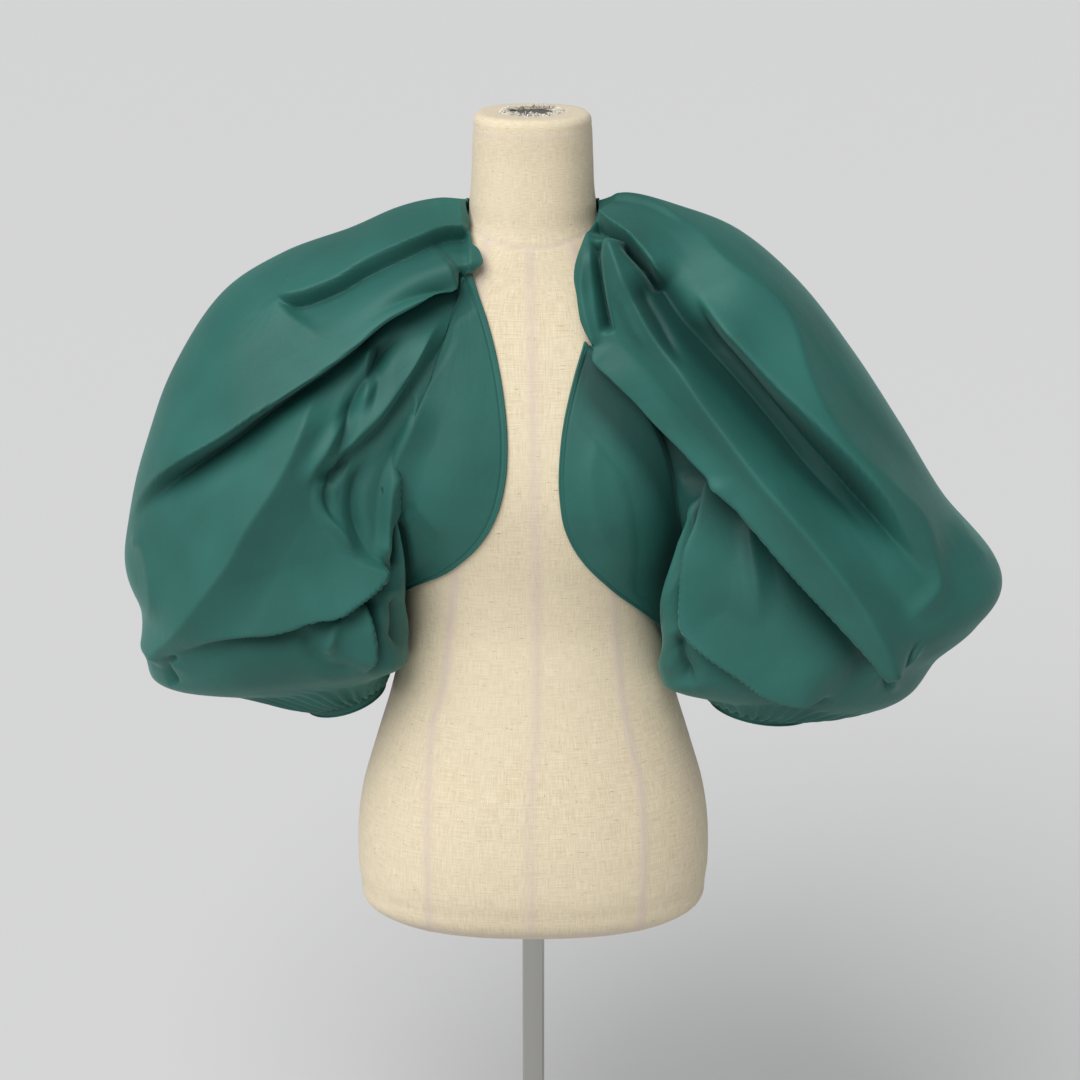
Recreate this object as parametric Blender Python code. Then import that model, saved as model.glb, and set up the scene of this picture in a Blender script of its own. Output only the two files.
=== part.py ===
"""Cropped bolero jacket with huge raglan balloon sleeves, worn on a limbless
dress form that stands on a pole and a round base.

Metres, +Z up.  The origin is the centre of the base's underside, the front
faces -Y and the wearer's left is +X.  Tables are in millimetres: "out" is the
distance sideways from the form's axis, whichever side the piece is on.
"""
import math

import bmesh
import bpy
import numpy as np

MM = 0.001

# Driving dimensions of the garment
WALL = 1.6 * MM
SEAM_GAP = 0.3 * MM
SEAM_END_GAP = 1.5 * MM    # at a seam's ends, where three pieces meet
EASE = 2.6 * MM            # cloth's middle surface over the form where it rests
SIDE_EASE = 5.5 * MM       # the same sideways, from the shoulders down
SHOULDER_EASE = 4 * MM     # what the shoulders' slope adds to it
SHOULDER_TOP = 1.128
SHOULDER_MIDDLE = 1.090
SHOULDER_SPREAD = 28 * MM  # reach of that slope up and down
SHOULDER_FALL = 25 * MM    # over which the side ease comes in
SLEEVE_ROWS = 26           # grid of a sleeve: rings, and steps around each
FRONT_STEPS = 28
BACK_STEPS = 16
PANEL_STEPS = 7            # steps across a front, from its edge to the seam
ACROSS_BACK = 16
CUFF_HEIGHT = 12 * MM

# Driving dimensions of the dress form and its stand
FORM_TOP = 1.218
FORM_BOTTOM = 0.431
NECK_HOLE_RADIUS = 26 * MM
NECK_HOLE_DEPTH = 5 * MM
PLATE_THICKNESS = 3 * MM
PLATE_HOLE_RADIUS = 5.5 * MM
POLE_RADIUS = 11 * MM
SOCKET_DEPTH = 40 * MM
BASE_RADIUS = 0.165
BASE_THICKNESS = 10 * MM
HUB_RADIUS = 22 * MM
HUB_HEIGHT = 30 * MM
FIT_GAP = 0.3 * MM
FORM_SIDES = 34            # steps round the form, the plate, the pole and the base
PLATE_SIDES = 20
POLE_SIDES = 20
BASE_SIDES = 40
EDGE_BREAK = 0.6 * MM      # small chamfers of the plate, the base and the hub
BASE_CHAMFER = 3 * MM
HUB_CHAMFER = 2 * MM

# Places on the front are given as they are seen from this eye point, on the
# upright plane through the form's axis.
EYE = np.array([0.0067, -2.4452, 1.6045])

# Sections of the form: height, half width, depth in front and behind the axis
FORM_COLUMNS = ("height", "half_width", "front", "back")
FORM_SECTIONS = (
    (431, 150, 82, 88),
    (440, 163, 93, 102),
    (465, 170, 104, 114),
    (510, 172, 110, 121),
    (560, 166, 109, 117),
    (610, 152, 104, 104),
    (660, 137, 98, 89),
    (710, 126, 94, 78),
    (740, 123, 93, 75),
    (780, 127, 98, 78),
    (830, 137, 108, 84),
    (880, 144, 114, 90),
    (930, 149, 110, 96),
    (980, 160, 98, 100),
    (1020, 168, 86, 99),
    (1050, 158, 76, 92),
    (1075, 124, 68, 82),
    (1095, 86, 63, 72),
    (1115, 63, 58, 62),
    (1140, 57.5, 56, 56),
    (1180, 55, 54, 53),
    (1206, 53.5, 54, 51),
    (1215, 52, 52.5, 49.5),
    (1218, 49, 50, 47),
)
SECTION_POWER = 2.25
BUST = {"out": 82, "height": 885, "swell": 9, "width": 48, "reach": 60}

# A sleeve's rings, from the raglan seam to the cuff: its outer point, the
# point that bends the ring, its inner point beside the form, and how far it
# bulges in front of and behind the axis.
RING_COLUMNS = ("outer_out", "outer_z", "bend_out", "bend_z", "inner_out", "inner_z", "front", "back")
RIGHT_RINGS = (
    (60, 1138, 62, 985, 134, 776, 90, 88),
    (88, 1139, 92, 985, 141, 772, 102, 100),
    (125, 1130, 125, 985, 145, 765, 117, 114),
    (170, 1109, 160, 965, 144, 757, 130, 126),
    (232, 1085, 200, 935, 138, 748, 142, 138),
    (287, 1050, 225, 905, 131, 740, 149, 145),
    (328, 993, 238, 868, 128, 731, 152, 148),
    (356, 928, 246, 828, 128, 724, 152, 148),
    (386, 810, 254, 785, 128, 717, 147, 145),
    (373, 752, 248, 745, 129, 711, 138, 138),
    (371, 699, 244, 722, 131, 705, 124, 126),
    (360, 678, 240, 702, 134, 699, 106, 108),
    (306, 672, 216, 687, 136, 692, 88, 92),
    (248, 665, 195, 674, 140, 683, 71, 75),
    (222, 656, 184, 663, 146, 675, 54, 60),
)
LEFT_RINGS = (
    (60, 1137, 62, 985, 130, 736, 92, 88),
    (88, 1143, 95, 985, 139, 732, 105, 100),
    (130, 1133, 130, 980, 147, 726, 121, 114),
    (190, 1108, 172, 955, 149, 721, 136, 126),
    (249, 1057, 210, 920, 144, 715, 148, 138),
    (301, 991, 238, 880, 139, 709, 154, 145),
    (347, 922, 260, 838, 133, 703, 155, 148),
    (391, 852, 278, 800, 131, 697, 153, 148),
    (444, 787, 296, 762, 132, 691, 147, 145),
    (428, 746, 288, 736, 135, 685, 138, 138),
    (392, 710, 270, 712, 140, 680, 124, 126),
    (368, 670, 258, 690, 148, 676, 106, 110),
    (338, 653, 246, 673, 157, 672, 88, 92),
    (302, 657, 236, 661, 165, 667, 73, 76),
    (275, 651, 224, 652, 172, 662, 54, 60),
)
RING_POWER = 0.86

# The raglan seams: step of the sleeve's grid, angle round the form from its
# side towards the front or the back, height, and how far it stands off the
# form.  Above a front's top row its seam's line is the pleated neck edge.
SEAM_COLUMNS = ("step", "angle", "height", "lift")
RIGHT_SEAM = (
    (0, 0, 1138, 0), (2, 22, 1130, 2), (4, 39, 1116, 4), (5, 49, 1109, 5), (6, 58, 1105, 6),
    (7, 64, 1099, 7), (8, 67, 1093, 8), (9, 64, 1081, 8), (10, 67, 1070, 9), (12, 68, 1041, 11),
    (14, 65, 1010, 13), (18, 55, 950, 22), (22, 40, 888, 30), (25, 22, 836, 20), (28, 0, 776, 0),
)
LEFT_SEAM = (
    (0, 0, 1137, 0), (2, 25, 1127, 2), (4, 58, 1109, 5), (6, 75, 1083, 7), (7, 77, 1068, 8),
    (8, 78, 1045, 9), (9, 75, 1024, 9), (11, 70, 998, 11), (13, 61, 974, 13), (15, 52, 945, 15),
    (17, 45, 911, 17), (19, 40, 875, 17), (21, 33, 841, 15), (23, 26, 810, 11), (28, 0, 736, 0),
)
BACK_SEAM = (
    (0, 0, 1138, 0), (3, 38, 1105, 4), (7, 60, 1000, 11), (11, 40, 890, 14), (14, 18, 812, 9),
    (16, 0, 776, 0),
)
SEAM_SPREAD = 4.0          # rings over which the seam's line passes into the rings'

# A front's free edge as it is seen, from the neck point to the side seam, and
# the step of the seam at which the front starts
EDGE_COLUMNS = ("out", "height")
RIGHT_EDGE = (
    (57, 1068), (51, 1048), (42, 1020), (34, 986), (28, 948), (25, 908), (27, 868),
    (36, 832), (53, 803), (80, 779), (106, 767), (131, 757),
)
LEFT_EDGE = (
    (49, 1004), (39, 968), (30, 926), (26, 888),
    (26, 853), (32, 818), (49, 787), (77, 759), (105, 738), (131, 718),
)
FRONT_STARTS = {"right": 9, "left": 9}
HEM_END_ANGLE = 9          # where a front's free edge ends, short of its side seam
CENTRE_BACK_DROP = 14 * MM
PANEL_ROUNDING = 4 * MM

# Folds: height, width on the soft side, width on the sharp side, depth of
# the trough at the sharp side's foot and how far it runs, share of the length
# over which the fold comes in and goes out, and its line as it is seen.
# Walking along the line, the sharp side is on the wearer's own inner side of
# it.  A fold with a trough is a layer's rolled edge, one without is a ridge
# between flat planes.
FOLD_COLUMNS = ("height", "soft", "sharp", "trough", "run", "comes_in", "goes_out", "line")
CREST_ROUNDING = 5
LEAST_FOLD_WIDTH = 19      # narrower folds would fall between the grid's lines
FOLD_ROWS = 3.0            # rows over which folds settle to the seam and the cuff
RIGHT_FOLDS = {
    "fold_one": (9, 44, 5, 8, 26, 0.03, 0.15,
                 ((58, 1106), (112, 1091), (178, 1057), (221, 1042), (243, 1051))),
    "main_overlap": (16, 50, 5, 11, 38, 0.03, 0.08,
                     ((62, 1067), (136, 1021), (190, 977), (255, 932), (325, 883), (383, 819))),
    "long_ridge": (14, 46, 44, 0, 10, 0.18, 0.08,
                   ((189, 975), (226, 900), (271, 822), (323, 746), (366, 682))),
    "lower_lip": (12, 46, 5, 13, 32, 0.08, 0.08,
                  ((137, 788), (173, 744), (211, 732), (273, 716), (345, 693))),
    "chest_wrinkle": (8, 24, 15, 4, 16, 0.25, 0.15,
                      ((79, 1037), (124, 967), (167, 914), (195, 874))),
    "armhole_hump": (9, 15, 24, 0, 10, 0.25, 0.15, ((108, 948), (125, 894), (139, 840), (146, 784))),
    "armhole_pucker": (-15, 14, 14, 0, 10, 0.15, 0.25, ((130, 842), (129, 820), (128, 794), (126, 772))),
    "under_edge": (7, 22, 5, 6, 20, 0.2, 0.2, ((164, 754), (155, 725), (152, 696), (159, 672))),
}
LEFT_FOLDS = {
    "neck_over": (10, 26, 5, 7, 16, 0.05, 0.10, ((58, 1116), (80, 1101), (107, 1076), (121, 1057))),
    "broad_fold": (15, 44, 5, 14, 36, 0.04, 0.10,
                   ((144, 1047), (193, 990), (262, 912), (322, 842), (374, 768))),
    "broad_ridge": (8, 30, 26, 0, 10, 0.15, 0.12,
                    ((98, 1130), (174, 1077), (236, 1019), (269, 934), (333, 860), (396, 773))),
    "slot": (-10, 14, 14, 0, 10, 0.10, 0.10, ((61, 1100), (62, 1070), (65, 1041), (70, 1012))),
    "main_ridge": (20, 36, 34, 0, 10, 0.05, 0.05,
                   ((64, 1104), (118, 1006), (184, 918), (256, 822), (332, 716), (354, 680))),
    "ridge_drop": (6, 20, 5, 13, 44, 0.05, 0.05,
                   ((50, 1002), (91, 956), (148, 892), (177, 862), (250, 774), (344, 674))),
    "side_fold": (14, 36, 5, 12, 24, 0.08, 0.12,
                  ((158, 880), (157, 831), (145, 760), (146, 724), (199, 677), (262, 648), (297, 648))),
    "outer_crease": (8, 18, 5, 6, 20, 0.25, 0.25,
                     ((350, 827), (385, 777), (386, 759), (354, 721))),
}
# Folds of the hidden back, on the plane through the axis seen straight on
BACK_FOLDS = {
    "back_neck": (7, 26, 5, 5, 20, 0.08, 0.2, ((62, 1112), (100, 1096), (150, 1072), (195, 1040))),
    "back_upper": (11, 40, 5, 8, 28, 0.06, 0.15, ((70, 1085), (180, 1005), (240, 965), (290, 930))),
    "back_middle": (15, 46, 36, 0, 10, 0.08, 0.08,
                    ((75, 1050), (190, 915), (250, 850), (310, 790), (350, 745))),
    "back_over": (12, 40, 5, 10, 30, 0.1, 0.12,
                  ((105, 960), (180, 850), (230, 795), (285, 745), (330, 715))),
    "back_side": (9, 26, 6, 7, 18, 0.15, 0.15,
                  ((160, 850), (152, 800), (158, 760), (185, 725), (225, 700), (275, 690))),
}

COLOURS = {
    "taffeta": ((0.030, 0.125, 0.098), 0.55, 0.0),
    "linen": ((0.78, 0.68, 0.50), 0.85, 0.0),
    "neck_plate": ((0.16, 0.17, 0.17), 0.40, 0.6),
    "steel": ((0.62, 0.62, 0.60), 0.22, 1.0),
}


def hermite(at, knots, values):
    """Smooth curve through values (rows) at knots, read at the places at."""
    knots = np.asarray(knots, float)
    values = np.asarray(values, float)
    flat = values.ndim == 1
    if flat:
        values = values[:, None]
    slopes = np.gradient(values, knots, axis=0)
    at = np.clip(np.asarray(at, float), knots[0], knots[-1])
    left = np.clip(np.searchsorted(knots, at, side="right") - 1, 0, len(knots) - 2)
    span = (knots[left + 1] - knots[left])[..., None]
    t = (at - knots[left])[..., None] / span
    result = ((2 * t**3 - 3 * t**2 + 1) * values[left]
              + (t**3 - 2 * t**2 + t) * span * slopes[left]
              + (3 * t**2 - 2 * t**3) * values[left + 1]
              + (t**3 - t**2) * span * slopes[left + 1])
    return result[..., 0] if flat else result


def ramp(t):
    t = np.clip(t, 0, 1)
    return t * t * (3 - 2 * t)


FORM_TABLE = np.array(FORM_SECTIONS) * MM
SEAMS = {-1: np.array(RIGHT_SEAM, float), 1: np.array(LEFT_SEAM, float)}


def form_section(z):
    """Half width, front depth and back depth of the form at the heights z."""
    size = hermite(z, FORM_TABLE[:, 0], FORM_TABLE[:, 1:])
    return size[..., 0], size[..., 1], size[..., 2]


def bust_swell(x, z):
    """How far the bust rounds out the front of the form."""
    across = (np.abs(x) - BUST["out"] * MM) / (BUST["width"] * MM)
    up = (z - BUST["height"] * MM) / (BUST["reach"] * MM)
    return BUST["swell"] * MM * np.exp(-across**2 - up**2)


def eases(z):
    """Cloth's distance from the form sideways, and what the shoulders add."""
    slope = SHOULDER_EASE * np.exp(-((z - SHOULDER_MIDDLE) / SHOULDER_SPREAD)**2)
    return EASE + (SIDE_EASE - EASE) * ramp((SHOULDER_TOP - z) / SHOULDER_FALL) + slope, slope


def over_form(x, z, back=False):
    """Distance from the axis plane to the cloth that rests on the form."""
    half, front, rear = form_section(z)
    depth = rear if back else front + bust_swell(x, z)
    side_ease, slope = eases(z)
    inside = np.clip(1 - np.abs(x / (half + side_ease))**SECTION_POWER, 0, 1)
    return (depth + EASE + slope) * inside**(1 / SECTION_POWER)


def around_form(angle, z, lift, side):
    """Points of the cloth on the form: angle runs from its side to the front,
    or below zero to the back, and lift is the distance off where cloth rests."""
    half, front, rear = form_section(z)
    side_ease, slope = eases(z)
    power = 2 / SECTION_POWER
    turned = np.sign(np.cos(angle)) * np.abs(np.cos(angle))**power
    x = side * (half + side_ease + lift) * turned
    depth = np.where(angle < 0, rear, front + bust_swell(x, z)) + EASE + slope + lift
    y = -np.sign(angle) * depth * np.abs(np.sin(angle))**power
    return np.stack([x, y, z + 0 * x], axis=-1)


def seen(points):
    """Places (x, z) of points on the plane through the axis, seen from EYE."""
    share = -EYE[1] / (points[..., 1] - EYE[1])
    return (EYE + (points - EYE) * share[..., None])[..., [0, 2]]


def on_front(places):
    """Angles round the form and heights of the points of cloth seen at the places."""
    y = np.zeros(len(places))
    for _ in range(6):
        share = (y - EYE[1]) / -EYE[1]
        x = EYE[0] + (places[:, 0] - EYE[0]) * share
        z = EYE[2] + (places[:, 1] - EYE[2]) * share
        y = -over_form(x, z)
    reach = form_section(z)[0] + eases(z)[0]
    return np.arccos(np.clip(np.abs(x) / reach, 0, 1)**(SECTION_POWER / 2)), z


def smooth_line(points, steps):
    points = np.asarray(points, float)
    return hermite(np.linspace(0, len(points) - 1, steps), np.arange(len(points)), points)


def fold_height(places, folds, side):
    """Sum of the folds at places (x, z).  side is -1 on the wearer's right."""
    total = np.zeros(places.shape[:-1])
    for height, soft, sharp, trough, run, comes_in, goes_out, line in folds.values():
        path = smooth_line(line, 4 * len(line)) * MM * np.array([side, 1])
        start, step = path[:-1], np.diff(path, axis=0)
        length = np.hypot(step[:, 0], step[:, 1])
        travelled = np.concatenate([[0], np.cumsum(length)])
        away = places[..., None, :] - start
        along = np.clip((away * step).sum(-1) / length**2, 0, 1)
        gap = away - along[..., None] * step
        distance = np.hypot(gap[..., 0], gap[..., 1])
        nearest = distance.argmin(-1)[..., None]
        distance = np.take_along_axis(distance, nearest, -1)[..., 0]
        cross = step[:, 0] * away[..., 1] - step[:, 1] * away[..., 0]
        turn = -np.take_along_axis(cross, nearest, -1)[..., 0] * side
        reached = np.take_along_axis(travelled[:-1] + along * length, nearest, -1)[..., 0] / travelled[-1]
        fade = ramp(reached / comes_in) * ramp((1 - reached) / goes_out)
        sharp = max(sharp, LEAST_FOLD_WIDTH)
        inner = turn > 0
        off = distance / MM
        rounded = np.hypot(off, CREST_ROUNDING) - CREST_ROUNDING
        up = np.clip(1 - rounded / np.where(inner, sharp, soft), 0, 1)**1.7
        if trough:
            up = np.where(inner, 1 - ramp(off / sharp), up)
        foot = np.where(inner, trough * ramp(off / sharp) * np.clip(1 - (off - sharp) / run, 0, 1)**1.5, 0)
        total += (height * up - foot) * fade * MM
    return total


def surface_normals(points, closed):
    """Unit normals of a grid of points, which is closed around its second way."""
    along = np.gradient(points, axis=0)
    if closed:
        around = (np.roll(points, -1, axis=1) - np.roll(points, 1, axis=1)) / 2
    else:
        around = np.gradient(points, axis=1)
    normal = np.cross(along, around)
    return normal / np.maximum(np.linalg.norm(normal, axis=-1, keepdims=True), 1e-9)


def folded(points, normal, folds, side):
    """Move the points out along their normals by the front's and back's folds."""
    front = fold_height(seen(points), folds, side)
    rear = fold_height(points[..., [0, 2]], BACK_FOLDS, side)
    facing_front = ramp(0.5 - 1.6 * normal[..., 1] - 0.25)
    facing_back = ramp(0.5 + 1.6 * normal[..., 1] - 0.25)
    lift = front * facing_front + rear * facing_back
    return points + normal * lift[..., None]


def clear_of_form(points):
    """Push points that lie too near the form out to where cloth rests on it."""
    x, y, z = points[..., 0], points[..., 1], points[..., 2]
    y = np.where(y < 0, np.minimum(y, -over_form(x, z)), np.maximum(y, over_form(x, z, back=True)))
    return np.stack([x, y, z], axis=-1)


def sleeve_angles():
    """Angles around a sleeve: its front from the outer point in, then its back."""
    front = np.arange(FRONT_STEPS) / FRONT_STEPS
    back = 1 + np.arange(BACK_STEPS) / BACK_STEPS
    return math.pi * np.concatenate([front, back])


def seam_ring(front_seam, back_seam, side):
    """The first ring: the front's seam line, then the back's, from the underarm up."""
    ahead, behind = np.array(front_seam, float), np.array(back_seam, float)
    behind[-1, 2] = ahead[-1, 2]
    line = hermite(np.arange(FRONT_STEPS), ahead[:, 0], ahead[:, 1:])
    front = around_form(np.radians(line[:, 0]), line[:, 1] * MM, line[:, 2] * MM, side)
    line = hermite(np.arange(BACK_STEPS, 0, -1), behind[:, 0], behind[:, 1:])
    back = around_form(-np.radians(line[:, 0]), line[:, 1] * MM, line[:, 2] * MM, side)
    return np.vstack([front, back])


def ring_points(rings, seam, side, rows):
    """A sleeve's base surface: a grid of rings, the first of them the seam."""
    table = np.array(rings) * MM
    along = (len(rings) - 1) * np.linspace(0, 1, rows)
    row = hermite(along, np.arange(len(rings)), table)[:, None, :]
    angle = sleeve_angles()[None, :]
    share = (1 - np.cos(angle)) / 2
    outer, bend, inner = (1 - share)**2, 2 * share * (1 - share), share**2
    x = side * (outer * row[..., 0] + bend * row[..., 2] + inner * row[..., 4])
    z = outer * row[..., 1] + bend * row[..., 3] + inner * row[..., 5]
    bulge = np.abs(np.sin(angle))**RING_POWER
    y = np.where(np.sin(angle) > 0, -row[..., 6] * bulge, row[..., 7] * bulge)
    ring = np.stack([x, y, z], axis=-1)
    reach = (1 - ramp(along / SEAM_SPREAD))[:, None, None]
    return clear_of_form(ring + (seam - ring[0]) * reach)


def sleeve_points(rings, seam, folds, side, rows):
    base = ring_points(rings, seam, side, rows)
    normal = -side * surface_normals(base, True)
    shaped = folded(base, normal, folds, side)
    row = np.arange(rows)
    settle = (ramp(row / FOLD_ROWS) * ramp(row[::-1] / FOLD_ROWS))[:, None, None]
    return clear_of_form(base + (shaped - base) * settle)


def new_object(name, mesh, collection, material):
    thing = bpy.data.objects.new(name, mesh)
    collection.objects.link(thing)
    mesh.materials.append(material)
    return thing


def cloth(name, points, normals, closed, collection, material):
    """A cloth wall on a grid of points, open at its ends and closed around if asked.

    Its faces are built here because Solidify would lean each wall's end its own
    way: pieces that share a seam share the normals along it and so stay apart.
    """
    rows, steps = points.shape[:2]
    build = bmesh.new()
    skins = [[[build.verts.new(point) for point in row] for row in points + normals * reach]
             for reach in (WALL / 2, -WALL / 2)]
    around = steps if closed else steps - 1
    for skin in skins:
        for row in range(rows - 1):
            for step in range(around):
                after = (step + 1) % steps
                build.faces.new((skin[row][step], skin[row][after],
                                 skin[row + 1][after], skin[row + 1][step]))
    outer, inner = skins
    for row in (0, rows - 1):
        for step in range(around):
            after = (step + 1) % steps
            build.faces.new((outer[row][step], outer[row][after], inner[row][after], inner[row][step]))
    for step in () if closed else (0, steps - 1):
        for row in range(rows - 1):
            build.faces.new((outer[row][step], outer[row + 1][step],
                             inner[row + 1][step], inner[row][step]))
    bmesh.ops.recalc_face_normals(build, faces=build.faces)
    mesh = bpy.data.meshes.new(name)
    build.to_mesh(mesh)
    build.free()
    mesh.shade_smooth()
    mesh.set_sharp_from_angle(angle=math.radians(60))
    return new_object(name, mesh, collection, material)


def loft(name, rings, collection, material):
    """Closed solid through rings of points, with a flat fan at each end."""
    count = len(rings[0])
    build = bmesh.new()
    rows = [[build.verts.new(point) for point in ring] for ring in rings]
    for lower, upper in zip(rows, rows[1:]):
        for index in range(count):
            after = (index + 1) % count
            build.faces.new((lower[index], lower[after], upper[after], upper[index]))
    build.faces.new(rows[0][::-1])
    build.faces.new(rows[-1])
    bmesh.ops.recalc_face_normals(build, faces=build.faces)
    mesh = bpy.data.meshes.new(name)
    build.to_mesh(mesh)
    build.free()
    mesh.shade_smooth()
    mesh.set_sharp_from_angle(angle=math.radians(40))
    return new_object(name, mesh, collection, material)


def form_ring(z, count):
    """The form's outline at height z, anticlockwise seen from above."""
    half, front, rear = (float(value) for value in form_section(np.array(z)))
    ring = []
    for index in range(count):
        angle = 2 * math.pi * index / count
        across, ahead = math.cos(angle), math.sin(angle)
        x = half * math.copysign(abs(across)**(2 / SECTION_POWER), across)
        if ahead > 0:
            y = rear * ahead**(2 / SECTION_POWER)
        else:
            y = -(front + float(bust_swell(x, z))) * abs(ahead)**(2 / SECTION_POWER)
        ring.append((x, y, z))
    return ring


def circle(radius, z, count, centre_y=0.0):
    return [(radius * math.cos(2 * math.pi * i / count),
             centre_y + radius * math.sin(2 * math.pi * i / count), z) for i in range(count)]


def dress_form(collection, material):
    """Torso and neck in one, with a hole for the plate and one for the pole."""
    count = FORM_SIDES
    heights = list(FORM_TABLE[:, 0])
    socket = POLE_RADIUS + FIT_GAP
    rings = [circle(socket, FORM_BOTTOM + SOCKET_DEPTH, count), circle(socket, FORM_BOTTOM, count)]
    rings += [form_ring(z, count) for z in heights]
    rings += [circle(NECK_HOLE_RADIUS, FORM_TOP, count),
              circle(NECK_HOLE_RADIUS, FORM_TOP - NECK_HOLE_DEPTH, count)]
    return loft("dress_form", rings, collection, material)


def neck_plate(collection, material):
    """Round plate in the neck's hole, with a blind hole in its middle."""
    count = PLATE_SIDES
    low = FORM_TOP - NECK_HOLE_DEPTH + FIT_GAP
    high = low + PLATE_THICKNESS
    edge = NECK_HOLE_RADIUS - FIT_GAP
    rings = [circle(edge, low, count), circle(edge, high - EDGE_BREAK, count),
             circle(edge - EDGE_BREAK, high, count), circle(PLATE_HOLE_RADIUS, high, count),
             circle(PLATE_HOLE_RADIUS, low + 0.8 * MM, count)]
    return loft("neck_plate", rings, collection, material)


def pole(collection, material):
    low = BASE_THICKNESS + HUB_HEIGHT - SOCKET_DEPTH / 2 + FIT_GAP
    high = FORM_BOTTOM + SOCKET_DEPTH - FIT_GAP
    bpy.ops.mesh.primitive_cylinder_add(vertices=POLE_SIDES, radius=POLE_RADIUS, depth=high - low,
                                        location=(0, 0, (low + high) / 2))
    thing = bpy.context.object
    thing.name = thing.data.name = "pole"
    for owner in list(thing.users_collection):
        owner.objects.unlink(thing)
    collection.objects.link(thing)
    thing.data.materials.append(material)
    thing.data.shade_smooth()
    thing.data.set_sharp_from_angle(angle=math.radians(40))
    return thing


def base(collection, material):
    """Round plate with a turned hub that holds the pole."""
    count = BASE_SIDES
    hub_top = BASE_THICKNESS + HUB_HEIGHT
    socket = POLE_RADIUS + FIT_GAP
    rings = [circle(BASE_RADIUS - 1 * MM, 0, count), circle(BASE_RADIUS, 1 * MM, count),
             circle(BASE_RADIUS, BASE_THICKNESS - BASE_CHAMFER, count),
             circle(BASE_RADIUS - BASE_CHAMFER, BASE_THICKNESS, count),
             circle(HUB_RADIUS, BASE_THICKNESS, count),
             circle(HUB_RADIUS, hub_top - HUB_CHAMFER, count),
             circle(HUB_RADIUS - HUB_CHAMFER, hub_top, count),
             circle(socket, hub_top, count), circle(socket, hub_top - SOCKET_DEPTH / 2, count)]
    return loft("base", rings, collection, material)


def seam_steps(start, back):
    """The steps of a sleeve's first ring along one raglan seam, from the neck down."""
    if back:
        return [0] + list(range(FRONT_STEPS + BACK_STEPS - 1, FRONT_STEPS - 1, -1))
    return list(range(start, FRONT_STEPS + 1))


def unit(vectors):
    return vectors / np.maximum(np.linalg.norm(vectors, axis=-1, keepdims=True), 1e-9)


def share_seam_normals(sleeve, start, front, back, column):
    """Give the pieces that meet at a sleeve's seam the same normals along it."""
    ahead, behind = seam_steps(start, False), seam_steps(0, True)
    ring = sleeve[0].copy()
    ring[ahead] += front[:-1, -1]
    ring[behind] += back[:-1, column]
    sleeve[0] = unit(ring)
    foot = unit(front[-1, -1] + back[-1, column])
    front[:, -1] = np.vstack([sleeve[0][ahead], foot])
    back[:, column] = np.vstack([sleeve[0][behind], foot])


def inset_ends(points, first, last):
    """Pull a grid's first and last columns back, to part it from its neighbours."""
    row = np.arange(len(points))
    from_end = np.minimum(row, row[::-1])
    gap = SEAM_GAP + (SEAM_END_GAP - SEAM_GAP) * np.exp(-from_end**2 / 3)
    for wanted, end, inner in ((first, 0, 1), (last, -1, -2)):
        if wanted:
            points[:, end] += unit(points[:, inner] - points[:, end]) * gap[:, None]
    return points


def front_points(edge, start, folds, side):
    """A front between its free edge and the raglan seam, on the form."""
    seam_line, seam_table = np.arange(start, FRONT_STEPS + 1), SEAMS[side]
    seam = hermite(seam_line, seam_table[:, 0], seam_table[:, 1:])
    foot_height = edge[-1][1] * MM
    seam_angle = np.append(np.radians(seam[:, 0]), 0)
    seam_height = np.append(seam[:, 1] * MM, foot_height)
    seam_lift = np.append(seam[:, 2] * MM, 0)
    rows = len(seam_angle)
    edge_angle, edge_height = on_front(smooth_line(edge, rows) * MM * np.array([side, 1]))
    edge_angle[-1], edge_height[-1] = math.radians(HEM_END_ANGLE), foot_height
    share = np.linspace(0, 1, PANEL_STEPS + 1)[None, :]
    angle = edge_angle[:, None] * (1 - share) + seam_angle[:, None] * share
    height = edge_height[:, None] * (1 - share) + seam_height[:, None] * share
    along = np.linspace(0, 1, rows)[:, None]
    rounding = PANEL_ROUNDING * np.sin(math.pi * share) * np.sin(math.pi * along)
    grid = around_form(angle, height, seam_lift[:, None] * share**2 + rounding, side)
    normal = side * surface_normals(grid, False)
    lift = np.maximum(fold_height(seen(grid), folds, side), 0) * (1 - ramp(share * 1.5))
    grid[:, :-1] += (normal * lift[..., None])[:, :-1]
    return inset_ends(grid, False, True)


def back_points(feet):
    """The back between both raglan seams, over the form's back."""
    steps = np.arange(BACK_STEPS + 1)
    lines = []
    for side in (1, -1):
        table = np.array(BACK_SEAM, float)
        table[-1, 2] = SEAMS[side][-1, 2]
        line = hermite(steps, table[:, 0], table[:, 1:])
        angle = np.append(np.radians(line[:, 0]), 0)
        lines.append((angle, np.append(line[:, 1] * MM, feet[side])))
    (left_angle, left_height), (right_angle, right_height) = lines
    share = np.linspace(0, 1, ACROSS_BACK + 1)[None, :]
    angle = left_angle[:, None] * (1 - share) + (math.pi - right_angle)[:, None] * share
    height = left_height[:, None] * (1 - share) + right_height[:, None] * share
    fall = np.linspace(1, 0, len(left_angle))[:, None]
    height = height - np.sin(math.pi * share) * CENTRE_BACK_DROP * fall
    lift = np.append(line[:, 2] * MM, 0)
    grid = around_form(-angle, height, lift[:, None] * np.abs(2 * share - 1)**3, 1)
    return inset_ends(grid, True, True)


def cuff_points(sleeve):
    """A short band that carries on from a sleeve's last ring."""
    ring = sleeve[-1]
    centre = ring.mean(axis=0)
    fall = np.cross(ring[10] - centre, ring[0] - centre)
    fall *= -math.copysign(1, fall[2]) / np.linalg.norm(fall)
    shares = np.array([SEAM_GAP / CUFF_HEIGHT, 1.0])[:, None, None]
    return ring[None] + fall * shares * CUFF_HEIGHT


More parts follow.
